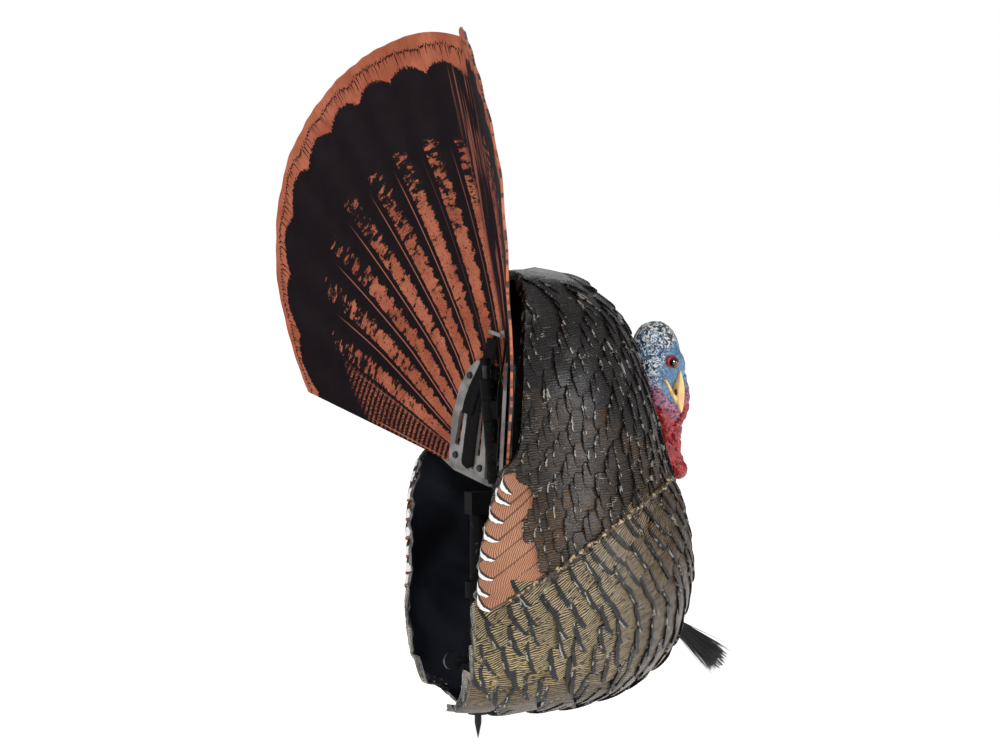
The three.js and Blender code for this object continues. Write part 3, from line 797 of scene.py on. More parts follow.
# lower edges of the regions in side view, as [x, z]
MANTLE_EDGE = np.array([[-40, 302], [-3, 302], [33, 294], [70, 285], [91, 270], [130, 258],
                        [200, 250]], float)
BACK_EDGE = np.array([[-40, 223], [-20, 223], [12, 215], [67, 215], [122, 223], [200, 226]], float)
WING_EDGE = np.array([[-36, 111], [-26, 120], [10.5, 145], [65, 182], [109, 207], [145, 223],
                      [190, 228]], float)
FLANK_EDGE = np.array([[-8, 226], [1, 219], [-1, 185], [10.5, 145]], float)


def region_of(x, z):
    """Which field of feathers a point in side view is in."""
    if z > np.interp(x, MANTLE_EDGE[:, 0], MANTLE_EDGE[:, 1]):
        return "mantle"
    if z < np.interp(x, WING_EDGE[:, 0], WING_EDGE[:, 1]):
        return "breast"
    if x < np.interp(z, FLANK_EDGE[::-1, 1], FLANK_EDGE[::-1, 0]) and z < 219:
        return "flank"
    if z > np.interp(x, BACK_EDGE[:, 0], BACK_EDGE[:, 1]):
        return "back"
    return "wedge"


def steady(angle):
    return lambda down: np.full(np.shape(down), math.radians(angle))


def breast_slant(down):
    """Growth slants down by 42 degrees at the wing edge and levels out at the bottom."""
    height = np.interp(down, chart.down, chart.height)
    return np.radians(np.interp(height, [45, 175], [8, 42]))


# the middle and the direction of the head's peg in side view, and the room beside it
HEAD_PEG, HEAD_PEG_WAY, HEAD_ROOM = (149, 300), (0.966, 0.259), 2.6
FIELDS = {
    # rows' spacing, spacing in a row, feather width and length, tip lift, slant, grid
    "mantle": dict(step=11.5, pitch=21, width=27, length=31, lift=2.1, base=0.6, slant=steady(6),
                   grid=(30, 12)),
    "back": dict(step=9.6, pitch=18, width=22.5, length=27, lift=2.2, base=0.3, slant=steady(2),
                 grid=(28, 12)),
    "wedge": dict(step=9.0, pitch=17, width=21, length=25, lift=2.1, base=0.2, slant=steady(4),
                  grid=(26, 12)),
    "breast": dict(step=19.5, pitch=24, width=30, length=37, lift=2.4, base=0.3, slant=breast_slant,
                   grid=(44, 16)),
}


def lattice(field, rng):
    """Root points and growth directions, as rows that follow the growth's slant."""
    downs = np.linspace(0, chart.down[-1], 800)
    drift = np.concatenate([[0], np.cumsum(np.tan(field["slant"](downs[:-1])) * np.diff(downs))])
    roots, ways = [], []
    for k, offset in enumerate(np.arange(-40, 620, field["step"])):
        backs = offset - drift
        travel = np.concatenate([[0], np.cumsum(np.hypot(np.diff(backs), np.diff(downs)))])
        start = field["pitch"] * (0.5 * (k % 2) + rng.uniform(-0.08, 0.08))
        for t in np.arange(start, travel[-1], field["pitch"]):
            down = np.interp(t, travel, downs) + rng.normal(0, 0.9)
            back = np.interp(t, travel, backs) + rng.normal(0, 1.3)
            point = chart.point(back, down)
            if point is None:
                continue
            slant = float(field["slant"](np.array(down)))
            near_line = np.clip(1 - back / 42, 0, 1)
            slant += near_line**1.5 * (math.radians(78) - slant) + rng.normal(0, 0.05)
            roots.append(point)
            ways.append(slant)
    return np.array(roots), np.array(ways)


def walk(roots, slants, length, steps):
    """Straight paths over the surface from each root."""
    point, normal = surface.onto(roots)
    level = np.stack([-normal[:, 1], normal[:, 0], np.zeros(len(normal))], -1)
    level = unit(level)
    fall = np.cross(level, normal)
    way = level * np.cos(slants)[:, None] + fall * np.sin(slants)[:, None]
    points, normals, ways = [point], [normal], [way]
    for _ in range(steps - 1):
        point, normal = surface.onto(point + way * (length / (steps - 1))[:, None])
        way = unit(way - normal * np.sum(way * normal, -1, keepdims=True))
        points.append(point)
        normals.append(normal)
        ways.append(way)
    return np.stack(points, 1), np.stack(normals, 1), np.stack(ways, 1)


def feather_plates(paths, widths, lengths, lift, base, grid, rng, blunt=(3.2, 2.6), ridge=0.16,
                   side=1):
    """Overlapping curved plates along the paths; the root is sunk and the tip stands up."""
    points, normals, ways = paths
    count = len(points)
    nu, nv = grid
    u = np.linspace(-1, 1, nu)
    v = np.linspace(0, 1, nv)
    power, sag = blunt
    across = np.cross(ways, normals)
    broad = 0.72 + 0.28 * np.sin(np.clip(v * 1.15, 0, 1) * np.pi / 2)
    out = u[None, None] * (widths[:, None, None] / 2) * broad[None, :, None]
    tip = -sag * np.abs(u) ** power
    jag = np.array([np.convolve(rng.normal(0, 0.42, nu + 2), [0.25, 0.5, 0.25], "valid")
                    for _ in range(count)])
    lean = rng.normal(0, 0.8, count)[:, None] * u
    shift = (tip[None] + lean)[:, None] * (v**3)[None, :, None]
    shift = shift + jag[:, None] * (v**7)[None, :, None]
    q = points[:, :, None] + across[:, :, None] * out[..., None]
    q = q + ways[:, :, None] * shift[..., None]
    place, normal = surface.onto(q)
    place = place - normal * PLATE_INSET
    profile = -1.0 + (lift + 1.0) * v**1.25
    crown = 0.9 * (1 - u**2)[None] * np.sin(np.clip(v, 0, 1) * np.pi * 0.62)[:, None]
    edge = -0.9 * np.clip((np.abs(u) - 0.86) / 0.14, 0, 1) ** 2
    wave = np.cos((u[None, :] * widths[:, None] / 2) * 2 * np.pi / 2.4
                  + rng.uniform(0, 6, count)[:, None])
    height = profile[None, :, None] + crown[None] + edge[None, None]
    height = height + ridge * wave[:, None] * (v**0.6)[None, :, None]
    height = height + base * np.clip(v * 2.5, 0, 1)[None, :, None]
    height = height + rng.normal(0, 0.28, count)[:, None, None] * (v**2)[None, :, None]
    top = place + normal * height[..., None]
    skirt = place[:, -1:] - ways[:, -1:, None] * 0.8 - normal[:, -1:] * 0.8
    top = np.concatenate([top, skirt], 1)

    limit = rim_at(top[..., 2], side)
    top[..., 0] = np.maximum(top[..., 0], limit - 0.5)

    # the keel is one line of points under the middle, which closes each plate inside the wall
    keel = np.concatenate([place[:, :, nu // 2], skirt[:, :, nu // 2]], 1)
    keel = keel - np.concatenate([normals, normals[:, -1:]], 1) * 1.4
    keel[..., 0] = np.maximum(keel[..., 0], rim_at(keel[..., 2], side) - 0.5)
    rows = nv + 1
    plate = rows * nu
    size = plate + rows
    i = np.arange(rows - 1)
    under = np.concatenate([
        np.stack([i * nu, (i + 1) * nu, plate + i + 1, plate + i], -1),
        np.stack([(i + 1) * nu - 1, plate + i, plate + i + 1, (i + 2) * nu - 1], -1),
    ])
    quads = np.concatenate([grid_quads(rows, nu), under])
    ends = [np.append(np.arange(nu)[::-1], plate),
            np.append(np.arange(plate - nu, plate), size - 1)]
    starts = np.arange(count) * size
    faces = (quads[None] + starts[:, None, None]).reshape(-1, 4).tolist()
    for loop in ends:
        faces += (loop[None] + starts[:, None]).tolist()
    points = np.concatenate([top.reshape(count, plate, 3), keel], 1).reshape(-1, 3)
    map_u = np.broadcast_to(u[None, None] * (widths / 2)[:, None, None], (count, rows, nu))
    map_v = np.broadcast_to((1 - np.append(v, 1.0))[None, :, None] * lengths[:, None, None],
                            map_u.shape)
    uv = np.stack([map_u, map_v], -1).reshape(count, plate, 2)
    uv = np.concatenate([uv, np.zeros((count, rows, 2))], 1).reshape(-1, 2)
    return points, faces, uv, size


def placed(wanted, rounds):
    """Surface points and normals at the wanted x and z, corrected round by round."""
    guess = wanted.copy()
    for _ in range(rounds):
        point, normal = surface.onto(guess)
        guess += (wanted - point) * [1, 0, 1]
    return point, normal


def mirrored(points, faces, side):
    if side > 0:
        return points, faces
    return points * [1, -1, 1], [face[::-1] for face in faces]


GOLD, GOLD_BRIGHT, OLIVE = linear(178, 158, 122), linear(206, 182, 122), linear(30, 24, 19)


def blend_colour(a, b, t):
    return np.array(a[:3]) * (1 - t) + np.array(b[:3]) * t


def feather_colours(region, x, z, rng):
    """Barb colour, ground colour, dark tip width and line contrast of one feather; on the breast
    the dark tip is widened by a painted shadow of the feather above it.
    """
    tint = rng.uniform(-1, 1)
    if region == "mantle":
        ground = blend_colour(linear(13, 12, 13), linear(27, 22, 21), 0.5 + 0.5 * tint)
        return linear(56, 50, 48)[:3], ground, 1.2, 0.35
    if region == "back":
        warm = np.clip(0.35 + 0.4 * tint + (x - 60) / 200, 0, 1)
        ground = blend_colour(linear(22, 19, 17), linear(46, 33, 24), warm)
        barb = blend_colour(linear(80, 72, 60), linear(112, 86, 60), warm)
        # the rearmost column gets stronger light barb lines, a painted highlight on its ridges
        return barb, ground, 1.6, 0.5 + 0.3 * (x < 12)
    if region == "wedge":
        shade = np.clip(0.35 + 0.4 * tint - (x - 60) / 200, 0, 1)
        ground = blend_colour(linear(22, 18, 15), linear(42, 30, 21), shade)
        return blend_colour(linear(78, 62, 46), linear(114, 86, 56), shade), ground, 1.6, 0.7
    front = np.clip((x - 75 + 14 * tint) / 70, 0, 1)
    low = np.clip((62 - z) / 26, 0, 1)
    bright = np.clip((70 - x) / 90, 0, 1) * np.clip((150 - z) / 90, 0, 1)
    dull = max(front, low)
    barb = blend_colour(blend_colour(GOLD, GOLD_BRIGHT, bright), linear(96, 74, 52), dull * 0.85)
    ground = blend_colour(OLIVE, linear(50, 36, 26), dull)
    return barb * (1 + 0.18 * tint), ground, 4.6 - 1.2 * dull + 0.9 * tint, 1.0 - 0.40 * dull


def tucked(points):
    """Feathers round the head's peg lie flatter, so that the head turns clear of them."""
    ahead, above = points[:, 0] - HEAD_PEG[0], points[:, 2] - HEAD_PEG[1]
    off_axis = np.hypot(points[:, 1], HEAD_PEG_WAY[0] * above - HEAD_PEG_WAY[1] * ahead)
    near = np.clip((60 - off_axis) / 12, 0, 1) * np.clip((points[:, 0] - 110) / 15, 0, 1)
    return points - HEAD_ROOM * near[:, None] * [1, 0, 0]


def feather_field(region, side):
    """All the feathers of one region on one side, as one piece."""
    field = FIELDS[region]
    rng = np.random.default_rng(sum(map(ord, region)) + (7 if side > 0 else 0))
    roots, slants = lattice(field, rng)
    lengths = field["length"] * rng.uniform(0.94, 1.08, len(roots))
    points, normals, ways = walk(roots, slants, lengths, field["grid"][1])
    tips, middles = points[:, -1], points[:, field["grid"][1] * 2 // 3]
    keep = np.array([region_of(0.6 * t[0] + 0.4 * m[0], 0.6 * t[2] + 0.4 * m[2]) == region
                     for t, m in zip(tips, middles)])
    near_root = points[:, 3]
    keep &= near_root[:, 0] > rim_at(near_root[:, 2], side) + 2
    keep &= tips[:, 1] > -3
    points, normals, ways, lengths = points[keep], normals[keep], ways[keep], lengths[keep]
    widths = field["width"] * rng.uniform(0.93, 1.1, len(points))
    blunt = (3.4, 3.0) if region == "breast" else (3.6, 2.4)
    top, faces, uv, size = feather_plates((points, normals, ways), widths, lengths, field["lift"],
                                          field["base"], field["grid"], rng, blunt, side=side)
    barbs, grounds, data = [], [], []
    for point in points[:, -3]:
        barb, ground, band, contrast = feather_colours(region, point[0], point[2], rng)
        barbs.append(barb)
        grounds.append(ground)
        data.append([rng.uniform(), band, contrast])
    attributes = {
        "barb_colour": np.repeat(barbs, size, 0),
        "ground_colour": np.repeat(grounds, size, 0),
        "feather_data": np.repeat(data, size, 0),
    }
    top, faces = mirrored(tucked(top), faces, side)
    name = f"{region}_feathers_{WORDS[side]}"
    piece = make_mesh(name, top, faces, [feathers_look], ("feather", uv), attributes, sharp=52)
    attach(piece, "shell")


def flank_field(side):
    """Long orange-brown feathers side by side, their tips at the rim."""
    rng = np.random.default_rng(31 + side)
    heights = np.array([124, 135, 149, 165, 181, 197, 212, 222], float)
    count = len(heights)
    lengths = np.interp(heights, [124, 149, 212, 222], [84, 74, 34, 22])
    lengths = lengths * rng.uniform(0.97, 1.03, count)
    slants = np.radians(np.interp(heights, [119, 170, 208, 222], [32, 38, 40, 24]))
    wanted = np.stack([rim_at(heights, side) + 1.5, np.full(count, 100.0), heights], -1)
    tips, _ = placed(wanted, 8)
    steps = 18
    points, normals, ways = walk(tips, slants + np.pi, lengths, steps)
    paths = points[:, ::-1], normals[:, ::-1], -ways[:, ::-1]
    widths = np.full(count, 20.0)
    widths[-1] = 17
    top, faces, uv, size = feather_plates(paths, widths, lengths, 2.8, 1.2, (28, steps), rng,
                                          (2.0, 6.5), 0.10, side)
    ladder = np.repeat(np.arange(count) * 0.25, size)
    _, normal = surface.onto(top)
    top = top + normal * ladder[:, None]
    data = np.stack([rng.uniform(size=count), np.ones(count), np.ones(count)], -1)
    data = np.repeat(data, size, 0)
    top, faces = mirrored(top, faces, side)
    name = f"flank_feathers_{WORDS[side]}"
    piece = make_mesh(name, top, faces, [flank_look], ("feather", uv), {"feather_data": data},
                      sharp=52)
    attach(piece, "shell")


def wing_edge(side):
    """The raised, scalloped lower edge of the folded wing."""
    x = np.linspace(-12, 150, 220)
    wanted = np.stack([x, np.full(len(x), 100.0), np.interp(x, WING_EDGE[:, 0], WING_EDGE[:, 1])],
                      -1)
    place, normal = placed(wanted, 10)
    across = np.array([0.0, 0.0, 1.0]) - normal * normal[:, 2:]
    scallop = 1.5 * np.abs(np.sin(x * np.pi / 15)) + 0.5 * np.sin(x * 2 * np.pi / 6.1)
    path = place + normal * 1.2 + unit(across) * (scallop - 1.0)[:, None]
    radii = 1.9 + 0.5 * np.sin(x * 2 * np.pi / 7.3) + 0.3 * np.sin(x * 2 * np.pi / 3.1)
    points, faces = tube(path, radii, 10)
    points, faces = mirrored(points, faces, side)
    piece = make_mesh(f"wing_edge_{WORDS[side]}", points, faces, [ridge_look])
    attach(piece, "shell")


# ------------------------------------------------------------------ the tail fan

# the sheet's fold line, sweep, twist and outline in mm and degrees, as in the CAD source
FAN = dict(base_height=213, base_x=25.4, rise=0.053, bend_start=110, bend=0.0415, bend_power=1.3,
           sweep=21.2, top_sweep=19, twist_start=125, twist_end=300,
           radius=390, corner=75, corner_start=42, corner_drop=117, thickness=2)


def along_sheet(up):
    """Which way the left half runs outward at a height above its lowest point."""
    share = np.clip((up - FAN["twist_start"]) / (FAN["twist_end"] - FAN["twist_start"]), 0, 1)
    share = share * share * (3 - 2 * share)
    sweep = np.radians(FAN["sweep"] + (FAN["top_sweep"] - FAN["sweep"]) * share)
    return np.stack([-np.sin(sweep), np.cos(sweep), np.zeros_like(sweep)], -1)


REAR = unit(np.cross(unit(np.array([FAN["rise"], 0, 1.0])), along_sheet(np.array(0.0))))


def fold_x(up):
    return (FAN["base_x"] + FAN["rise"] * up
            - FAN["bend"] * np.maximum(0, up - FAN["bend_start"]) ** FAN["bend_power"])


def sheet_point(out, up, rear=0.0):
    """A point of the left half: out from the fold, up from its lowest point, behind the sheet."""
    out, up, rear = np.broadcast_arrays(np.asarray(out, float), np.asarray(up, float),
                                        np.asarray(rear, float))
    base = np.stack([fold_x(up), np.zeros(up.shape), FAN["base_height"] + up], -1)
    return base + out[..., None] * along_sheet(up) + rear[..., None] * REAR


def fan_radius(degrees):
    swell = 0.02 * np.sin(2 * np.radians(np.minimum(degrees, 45)))
    share = np.maximum(0, (degrees - FAN["corner_start"]) / (FAN["corner"] - FAN["corner_start"]))
    return FAN["radius"] * (1 + swell) - FAN["corner_drop"] * share**1.9


def fan_sheet(side, print_look, edge_look):
    angles = np.linspace(0.0, FAN["corner"], 150)
    shares = np.concatenate([[0.012], np.linspace(0.03, 1, 150)])
    limit = fan_radius(angles) + 0.35 * np.sin(angles * 1.9) * np.interp(angles, [5, 20], [0, 1])
    limit = limit - 7 * np.clip(1 - angles / 9, 0, 1) ** 2
    radius = shares[None] * limit[:, None]
    angle = np.broadcast_to(angles[:, None], radius.shape)
    out = np.maximum(radius * np.sin(np.radians(angle)), 0.5)
    up = radius * np.cos(np.radians(angle))
    half = FAN["thickness"] / 2
    ripple = 0.5 * np.sin(angle * 0.75) * np.clip(radius / 300, 0, 1) ** 2
    sides = [sheet_point(out, up, rear + ripple).reshape(-1, 3) for rear in (half, -half)]
    count = radius.size
    rows, columns = radius.shape
    quads = grid_quads(rows, columns)
    border = grid_border(rows, columns)
    points = np.concatenate(sides + [sides[0][border], sides[1][border]])
    n = len(border)
    j = np.arange(n)
    k = (j + 1) % n
    rim = np.stack([j, k, n + k, n + j], -1) + 2 * count
    faces = np.concatenate([quads[:, ::-1], quads + count, rim])
    printed = np.stack([radius, angle, limit[:, None] - radius], -1).reshape(-1, 3)
    data = np.concatenate([printed, printed, printed[border], printed[border]])
    indices = np.concatenate([np.zeros(2 * len(quads), int), np.ones(n, int)])
    points, faces = mirrored(points, faces.tolist(), side)
    word = WORDS[side]
    piece = make_mesh(f"fan_sheet_{word}", points, faces, [print_look, edge_look],
                      attributes={"fan_print": data}, sharp=50, indices=indices)
    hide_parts(f"fan_panel_{word}")
    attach(piece, f"fan_{word}")


def tape(name, path, width, thick, look, replaced, side, point_end=0.0):
    """A woven strap along a path of [out, up, rear] over the fan's back."""
    path = np.array(path, float)
    lengths = np.concatenate([[0], np.cumsum(np.linalg.norm(np.diff(path, axis=0), axis=1))])
    rows, columns = 60, 13
    along = np.linspace(0, lengths[-1], rows)
    line = np.stack([np.interp(along, lengths, path[:, i]) for i in range(3)], -1)
    for _ in range(8):
        line[1:-1] = (line[:-2] + 2 * line[1:-1] + line[2:]) / 4
    ahead = unit(np.gradient(line, axis=0))
    sideways = unit(np.stack([ahead[:, 1], -ahead[:, 0], np.zeros(rows)], -1))
    u = np.linspace(-1, 1, columns)
    fray = wobble(np.stack([along, along * 0, along * 0], -1), 0.35) * 0.4
    half = width / 2 + fray
    near_end = np.clip((along - lengths[-1] + 12) / 12, 0, 1)
    taper = point_end * np.abs(u)[None] * near_end[:, None] ** 2
    sheets = []
    for face in (1, -1):
        lift = face * thick / 2 * np.sqrt(np.clip(1 - u**8, 0, 1))[None] * np.ones((rows, 1))
        spot = (line[:, None] + sideways[:, None] * (u[None] * half[:, None])[..., None]
                - ahead[:, None] * taper[..., None])
        sheets.append(sheet_point(spot[..., 0], spot[..., 1], spot[..., 2] + lift).reshape(-1, 3))
    count = rows * columns
    quads = grid_quads(rows, columns)
    border = grid_border(rows, columns)
    after = np.roll(border, -1)
    rim = np.stack([border, border + count, after + count, after], -1)
    faces = np.concatenate([quads, quads[:, ::-1] + count, rim])
    uv = np.stack(np.broadcast_arrays(along[:, None], (u[None] + 1) * width / 2), -1).reshape(-1, 2)
    points, faces = mirrored(np.concatenate(sheets), faces.tolist(), side)
    word = WORDS[side]
    piece = make_mesh(f"{name}_{word}", points, faces, [look], ("strap", np.concatenate([uv, uv])),
                      sharp=50)
    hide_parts(f"{replaced}_{word}")
    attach(piece, f"fan_{word}")


STRAP_PATH = [(18.5, 127, 5), (20.5, 114, 7), (29, 96, 9), (35.5, 83, 10.4), (40, 72, 10.8),
              (43, 62, 10.4)]
TAIL_PATH = [(34, 89, 7.6), (37, 60, 8.2), (40, 34, 8.4), (41.5, 15, 8.2)]


def make_straps(side, web_look, hook_look):
    tape("webbing_strap", STRAP_PATH, 14, 1.8, web_look, "strap", side)
    tape("hook_tape", TAIL_PATH, 16, 2.4, hook_look, "hook_loop_tail", side, 4.0)


# ------------------------------------------------------------------ head

def balls(specs, segments=24):
    parts = []
    for centre, radii in specs:
        mesh = bmesh.new()
        bmesh.ops.create_uvsphere(mesh, u_segments=segments, v_segments=segments // 2, radius=1)
        points = np.array([v.co for v in mesh.verts]) * radii + centre
        # the operator gives the faces in another order each run, so they are sorted
        faces = sorted([v.index for v in face.verts] for face in mesh.faces)
        parts.append((points, faces))
        mesh.free()
    return joined(parts)


def melted(name, points, faces, voxel):
    """The union of closed shapes as one smooth mesh; points and quads in millimetres."""
    rough = make_mesh(name + "_rough", points, faces, [])
    remesh = rough.modifiers.new("melt", "REMESH")
    remesh.mode, remesh.voxel_size = "VOXEL", voxel * MM
    smooth = rough.modifiers.new("smooth", "SMOOTH")
    smooth.factor, smooth.iterations = 0.6, 12
    graph = bpy.context.evaluated_depsgraph_get()
    mesh = bpy.data.meshes.new_from_object(rough.evaluated_get(graph))
    co = np.zeros(len(mesh.vertices) * 3)
    mesh.vertices.foreach_get("co", co)
    normals = np.zeros(len(mesh.vertices) * 3)
    mesh.vertices.foreach_get("normal", normals)
    faces = [list(p.vertices) for p in mesh.polygons]
    bpy.data.objects.remove(rough)
    bpy.data.meshes.remove(mesh)
    return co.reshape(-1, 3) / MM, normals.reshape(-1, 3), faces


def head_skin():
    shapes = [
        ((164, 0, 325), (22, 18.5, 30)), ((176, 0, 315), (15, 15.5, 18)),
        ((165, 0, 300), (14, 14.5, 22)), ((170, 0, 278), (12.5, 13, 20)),
        ((173, 0, 262), (10, 12, 14)), ((161, 0, 302), (12, 10, 12)),
        ((178, 0, 273), (8.5, 10, 12)), ((176, 12, 322), (9, 6.5, 8)),
        ((176, -12, 322), (9, 6.5, 8)), ((159.5, 0, 332), (16.5, 15.5, 22)),
    ]
    points, normals, faces = melted("head_skin", *balls(shapes), voxel=1.1)
    x, _, z = points.T
    wrinkle = wobble(points * [1, 1, 2.6], 0.16)
    lump = wobble(points, 0.33, 40)
    bumps = wobble(points, 0.62, 9)
    neck = np.clip((300 - z) / 22, 0, 1)
    swell = 0.35 * bumps + 0.5 * lump * (0.3 + 0.7 * neck) + 1.5 * wrinkle * neck
    points = points + normals * swell[:, None]
    ripple = wobble(points, 0.08, 3) * 9
    crown = np.clip((z + ripple + 0.45 * (x - 168) - 331) / 14, 0, 1)
    red = np.clip((298 - z + ripple - 0.75 * (x - 165)) / 26, 0, 1)
    mottle = np.clip((172 - x + ripple + 0.3 * (z - 325)) / 8, 0, 1)
    zones = np.stack([crown, mottle, red], -1)
    piece = make_mesh("head_skin", points, faces, [head_look], attributes={"head_zone": zones})
    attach(piece, "turning_head")
    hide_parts("head")


def head_fleshy(name, shapes, voxel, rough, zone_of):
    """A snood or caruncles, with a lumpy surface."""
    points, normals, faces = melted(name, *balls(shapes), voxel=voxel)
    swell = rough * wobble(points, 0.45, 17) + 0.5 * rough * wobble(points, 0.9, 5)
    points = points + normals * swell[:, None]
    zones = zone_of(points)
    piece = make_mesh(name, points, faces, [head_look], attributes={"head_zone": zones})
    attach(piece, "turning_head")


def snood_zone(points):
    red = np.clip((306 - points[:, 2] + 7 * wobble(points, 0.2)) / 36, 0, 1)
    return np.stack([np.zeros(len(red)), np.zeros(len(red)), red], -1)


def caruncle_zone(points):
    return np.tile([0.0, 0.0, 1.0], (len(points), 1))


def make_snood():
    spine = [
        ((186, 0, 312), (4.5, 6, 7)), ((189, 0, 304), (4.2, 5.4, 7)),
        ((191.3, 0, 296), (4.2, 5, 6.5)), ((192.2, 0, 288), (4.3, 4.6, 6.5)),
        ((191.6, 0, 280), (4.3, 4.4, 6.5)), ((189.4, 0, 273), (4.1, 4.2, 5.5)),
        ((186.4, 0, 267.5), (3.4, 3.6, 4.2)),
    ]
    head_fleshy("snood", spine, 0.8, 0.6, snood_zone)


def make_caruncles():
    rng = np.random.default_rng(5)
    shapes = [
        ((185.3, -1, 225.5), (8.0, 8.6, 8.8)), ((184, -0.5, 234), (6.0, 6.8, 6.5)),
        ((175, 0, 240), (8, 8, 15)), ((182.5, 0, 240), (5, 6.2, 6)),
        ((181.5, 3, 247), (5, 5.6, 6.5)), ((181.5, -4, 248), (5, 5.6, 6.5)),
        ((180, 6, 257), (5.4, 5.6, 8)), ((180, -6, 258), (5.4, 5.6, 8)),
        ((178, 0, 264), (7, 9, 9)), ((180, 0, 252), (5.5, 6.6, 8)),
    ]
    for _ in range(46):
        z = rng.uniform(236, 272)
        around = rng.uniform(-2.3, 2.3)
        reach = 5.6 + 3.0 * (z - 236) / 40
        size = rng.uniform(1.5, 2.7)
        centre = (180 + reach * math.cos(around) * 0.8, reach * 1.2 * math.sin(around), z)
        shapes.append((centre, (size, size, size * 1.15)))
    head_fleshy("caruncles", shapes, 0.7, 0.45, caruncle_zone)


def make_beak():
    """Two curved mandibles in one piece, a V from the side that ends in the beak's tip."""
    def blade(top, tip, wide, profile):
        rows, sides = 24, 28
        t = np.linspace(0, 1, rows)
        path = np.array(top)[None] * (1 - t)[:, None] + np.array(tip)[None] * t[:, None]
        thick = np.interp(t, np.linspace(0, 1, len(profile)), profile)
        reach = wide * ((1 - t) ** 0.75 * 0.90 + 0.10)
        turn = np.linspace(0, 2 * np.pi, sides, endpoint=False)
        boxy = np.sign(np.cos(turn)) * np.abs(np.cos(turn)) ** 0.4
        ring = np.stack([boxy[None] * thick[:, None], np.sin(turn)[None] * reach[:, None],
                         np.zeros((rows, sides))], -1)
        return (path[:, None] + ring).reshape(-1, 3), capped(rows, sides)

    upper = blade((180.4, 0, 312), (187.2, 0, 272.8), 17.6, (0.8, 3.4, 4.9, 4.4, 3.2, 0.8))
    lower = blade((166.0, 0, 304.5), (184.5, 0, 280), 18.6, (1.7, 2.5, 2.7, 2.7, 2.4, 2.2))
    points, normals, faces = melted("beak", *joined([upper, lower]), voxel=0.6)
    points = points + normals * (0.12 * wobble(points, 0.5))[:, None]
    piece = make_mesh("beak", points, faces, [beak_material()])
    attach(piece, "turning_head")
    # dark spots for the nostrils, painted shade of the holes
    spots = balls([((177.6, 13.2, 293.5), (1.2, 2.0, 3.0)),
                   ((177.6, -13.2, 293.5), (1.2, 2.0, 3.0))], 16)
    holes = make_mesh("nostrils", *spots, [nostril_shade_material()])
    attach(holes, "turning_head")


def make_eye_rims():
    look = red_material()
    for side, word in WORDS.items():
        low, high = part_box(f"eye_{word}")
        centre = np.array((low + high) / 2) / MM
        rows, sides = 40, 10
        turn = np.linspace(0, 2 * np.pi, rows, endpoint=False)
        reach = 4.5 + 1.2 * np.clip(-np.cos(turn + 0.35), 0, 1)
        thick = 0.3 + 1.5 * np.clip(-np.cos(turn + 0.5), 0, 1)
        path = np.stack([centre[0] + reach * np.cos(turn), np.full(rows, centre[1] - side * 0.3),
                         centre[2] + reach * np.sin(turn)], -1)
        ring_turn = np.linspace(0, 2 * np.pi, sides, endpoint=False)
        outward = unit(path - centre)
        ring = (np.cos(ring_turn)[None, :, None] * outward[:, None]
                + np.sin(ring_turn)[None, :, None] * np.array([0, side * 1.0, 0]))
        points = (path[:, None] + ring * thick[:, None, None]).reshape(-1, 3)
        quads = grid_quads(rows, sides, wrap=True)
        first, after = np.arange(sides), (np.arange(sides) + 1) % sides
        last = (rows - 1) * sides
        close = np.stack([last + first, last + after, after, first], -1)
        faces = np.concatenate([quads, close])
        faces = faces[:, ::-1] if side > 0 else faces
        piece = make_mesh(f"eye_rim_{word}", points, faces.tolist(), [look])
        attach(piece, "turning_head")


# ------------------------------------------------------------------ beard

def make_beard():
    rng = np.random.default_rng(12)
    root = np.array([177.0, 0, 96])
    axis = np.array([0.8, 0, -0.6])
    side = np.array([0.0, 1, 0])
    over = np.cross(axis, side)
    parts = []
    for _ in range(420):
        turn, share = rng.uniform(0, 2 * np.pi), math.sqrt(rng.uniform())
        flat = side * math.cos(turn) + over * math.sin(turn)
        length = 68 * rng.uniform(0.80, 1.0) * (1 - 0.10 * share)
        t = np.linspace(0, 1, 8)[:, None]
        spread = 2.6 * share * (1 - t) + (11.0 + 2 * rng.normal()) * share * t
        curl = rng.normal(0, 1.6) * t**2 * side + rng.normal(0, 1.6) * t**2 * over
        droop = np.array([0, 0, 3.0]) * t**2
        path = root - axis * 3 + axis * (length + 3) * t + flat * spread + curl - droop
        parts.append(tube(path, np.linspace(0.5, 0.16, 8), 4))
    piece = make_mesh("beard_strands", *joined(parts), [bristle_material()])
    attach(piece, "shell")
    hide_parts("beard_bristles")


# ------------------------------------------------------------------ run

def dress(material, *names):
    """A better finish on CAD nodes that keep their shape."""
    for name in names:
        mesh = nodes[name].data
        mesh.materials.clear()
        mesh.materials.append(material)


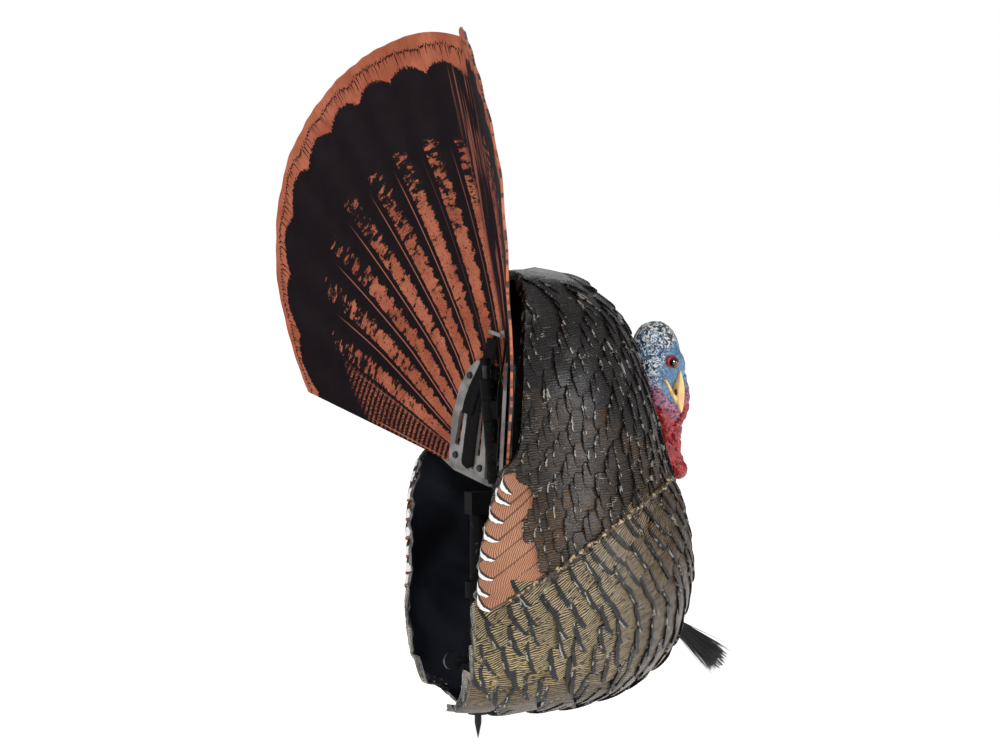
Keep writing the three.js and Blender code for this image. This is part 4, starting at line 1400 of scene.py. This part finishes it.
def both(*names):
    return [f"{name}_{word}" for name in names for word in WORDS.values()]


def dress_frame():
    dress(plastic("dark_steel_finish", linear(44, 45, 47), linear(20, 21, 22), 0.4, 1400, 0.00004,
                  0.6),
          "stake_rod", "stake_tube", "fan_post", "thumb_screw",
          *[f"fan_screw_{w}_{i}" for w in ("left", "right") for i in (1, 2, 3)])
    dress(plastic("black_moulding", linear(6, 6, 7), linear(3, 3, 4), 0.7, gloss=0.12),
          "pivot_cap", "stake_clamp", "spine_tube", "fan_socket", "upper_strut", "lower_strut",
          "post_cap", "beard_ferrule", "neck_bushing", *both("hinge_leaf"))
    dress(plastic("grey_moulding", linear(134, 132, 129), linear(92, 89, 86), 0.42, 700, 0.0001),
          *both("rear_plate", "front_plate", "strap_bar"))
    dress(plastic("zinc_finish", linear(190, 190, 192), linear(140, 141, 144), 0.3, 1600, 0.00003,
                  0.9),
          "chest_screw_upper", "chest_screw_lower", "neck_retainer")
    dress(plastic("rubber_finish", linear(30, 30, 31), linear(16, 16, 17), 0.7, 500, 0.0002),
          "floor_grommet")
    dress(eye_material(), "eye_left", "eye_right")


make_camera()
make_studio()
floor_corners = [[x * FLOOR_REACH, y * FLOOR_REACH, 0]
                 for x, y in ((-1, -1), (1, -1), (1, 1), (-1, 1))]
floor = make_mesh("floor", floor_corners, [[0, 1, 2, 3]], [floor_material()])

ridge_look, feathers_look, flank_look = ridge_material(), feather_material(), flank_material()
shell_skin()
for region in FIELDS:
    for side in (1, -1):
        feather_field(region, side)
for side in (1, -1):
    flank_field(side)
    wing_edge(side)

fan_print, fan_edge = print_material(), edge_material()
web_look = webbing_material("woven_strap", linear(15, 14, 16), linear(4, 4, 5))
hook_look = webbing_material("hook_tape", linear(27, 18, 19), linear(5, 3, 4), 0.9)
for side in (1, -1):
    fan_sheet(side, fan_print, fan_edge)
    make_straps(side, web_look, hook_look)

head_look = head_material()
head_skin()
make_snood()
make_caruncles()
make_beak()
make_eye_rims()
make_beard()
dress_frame()
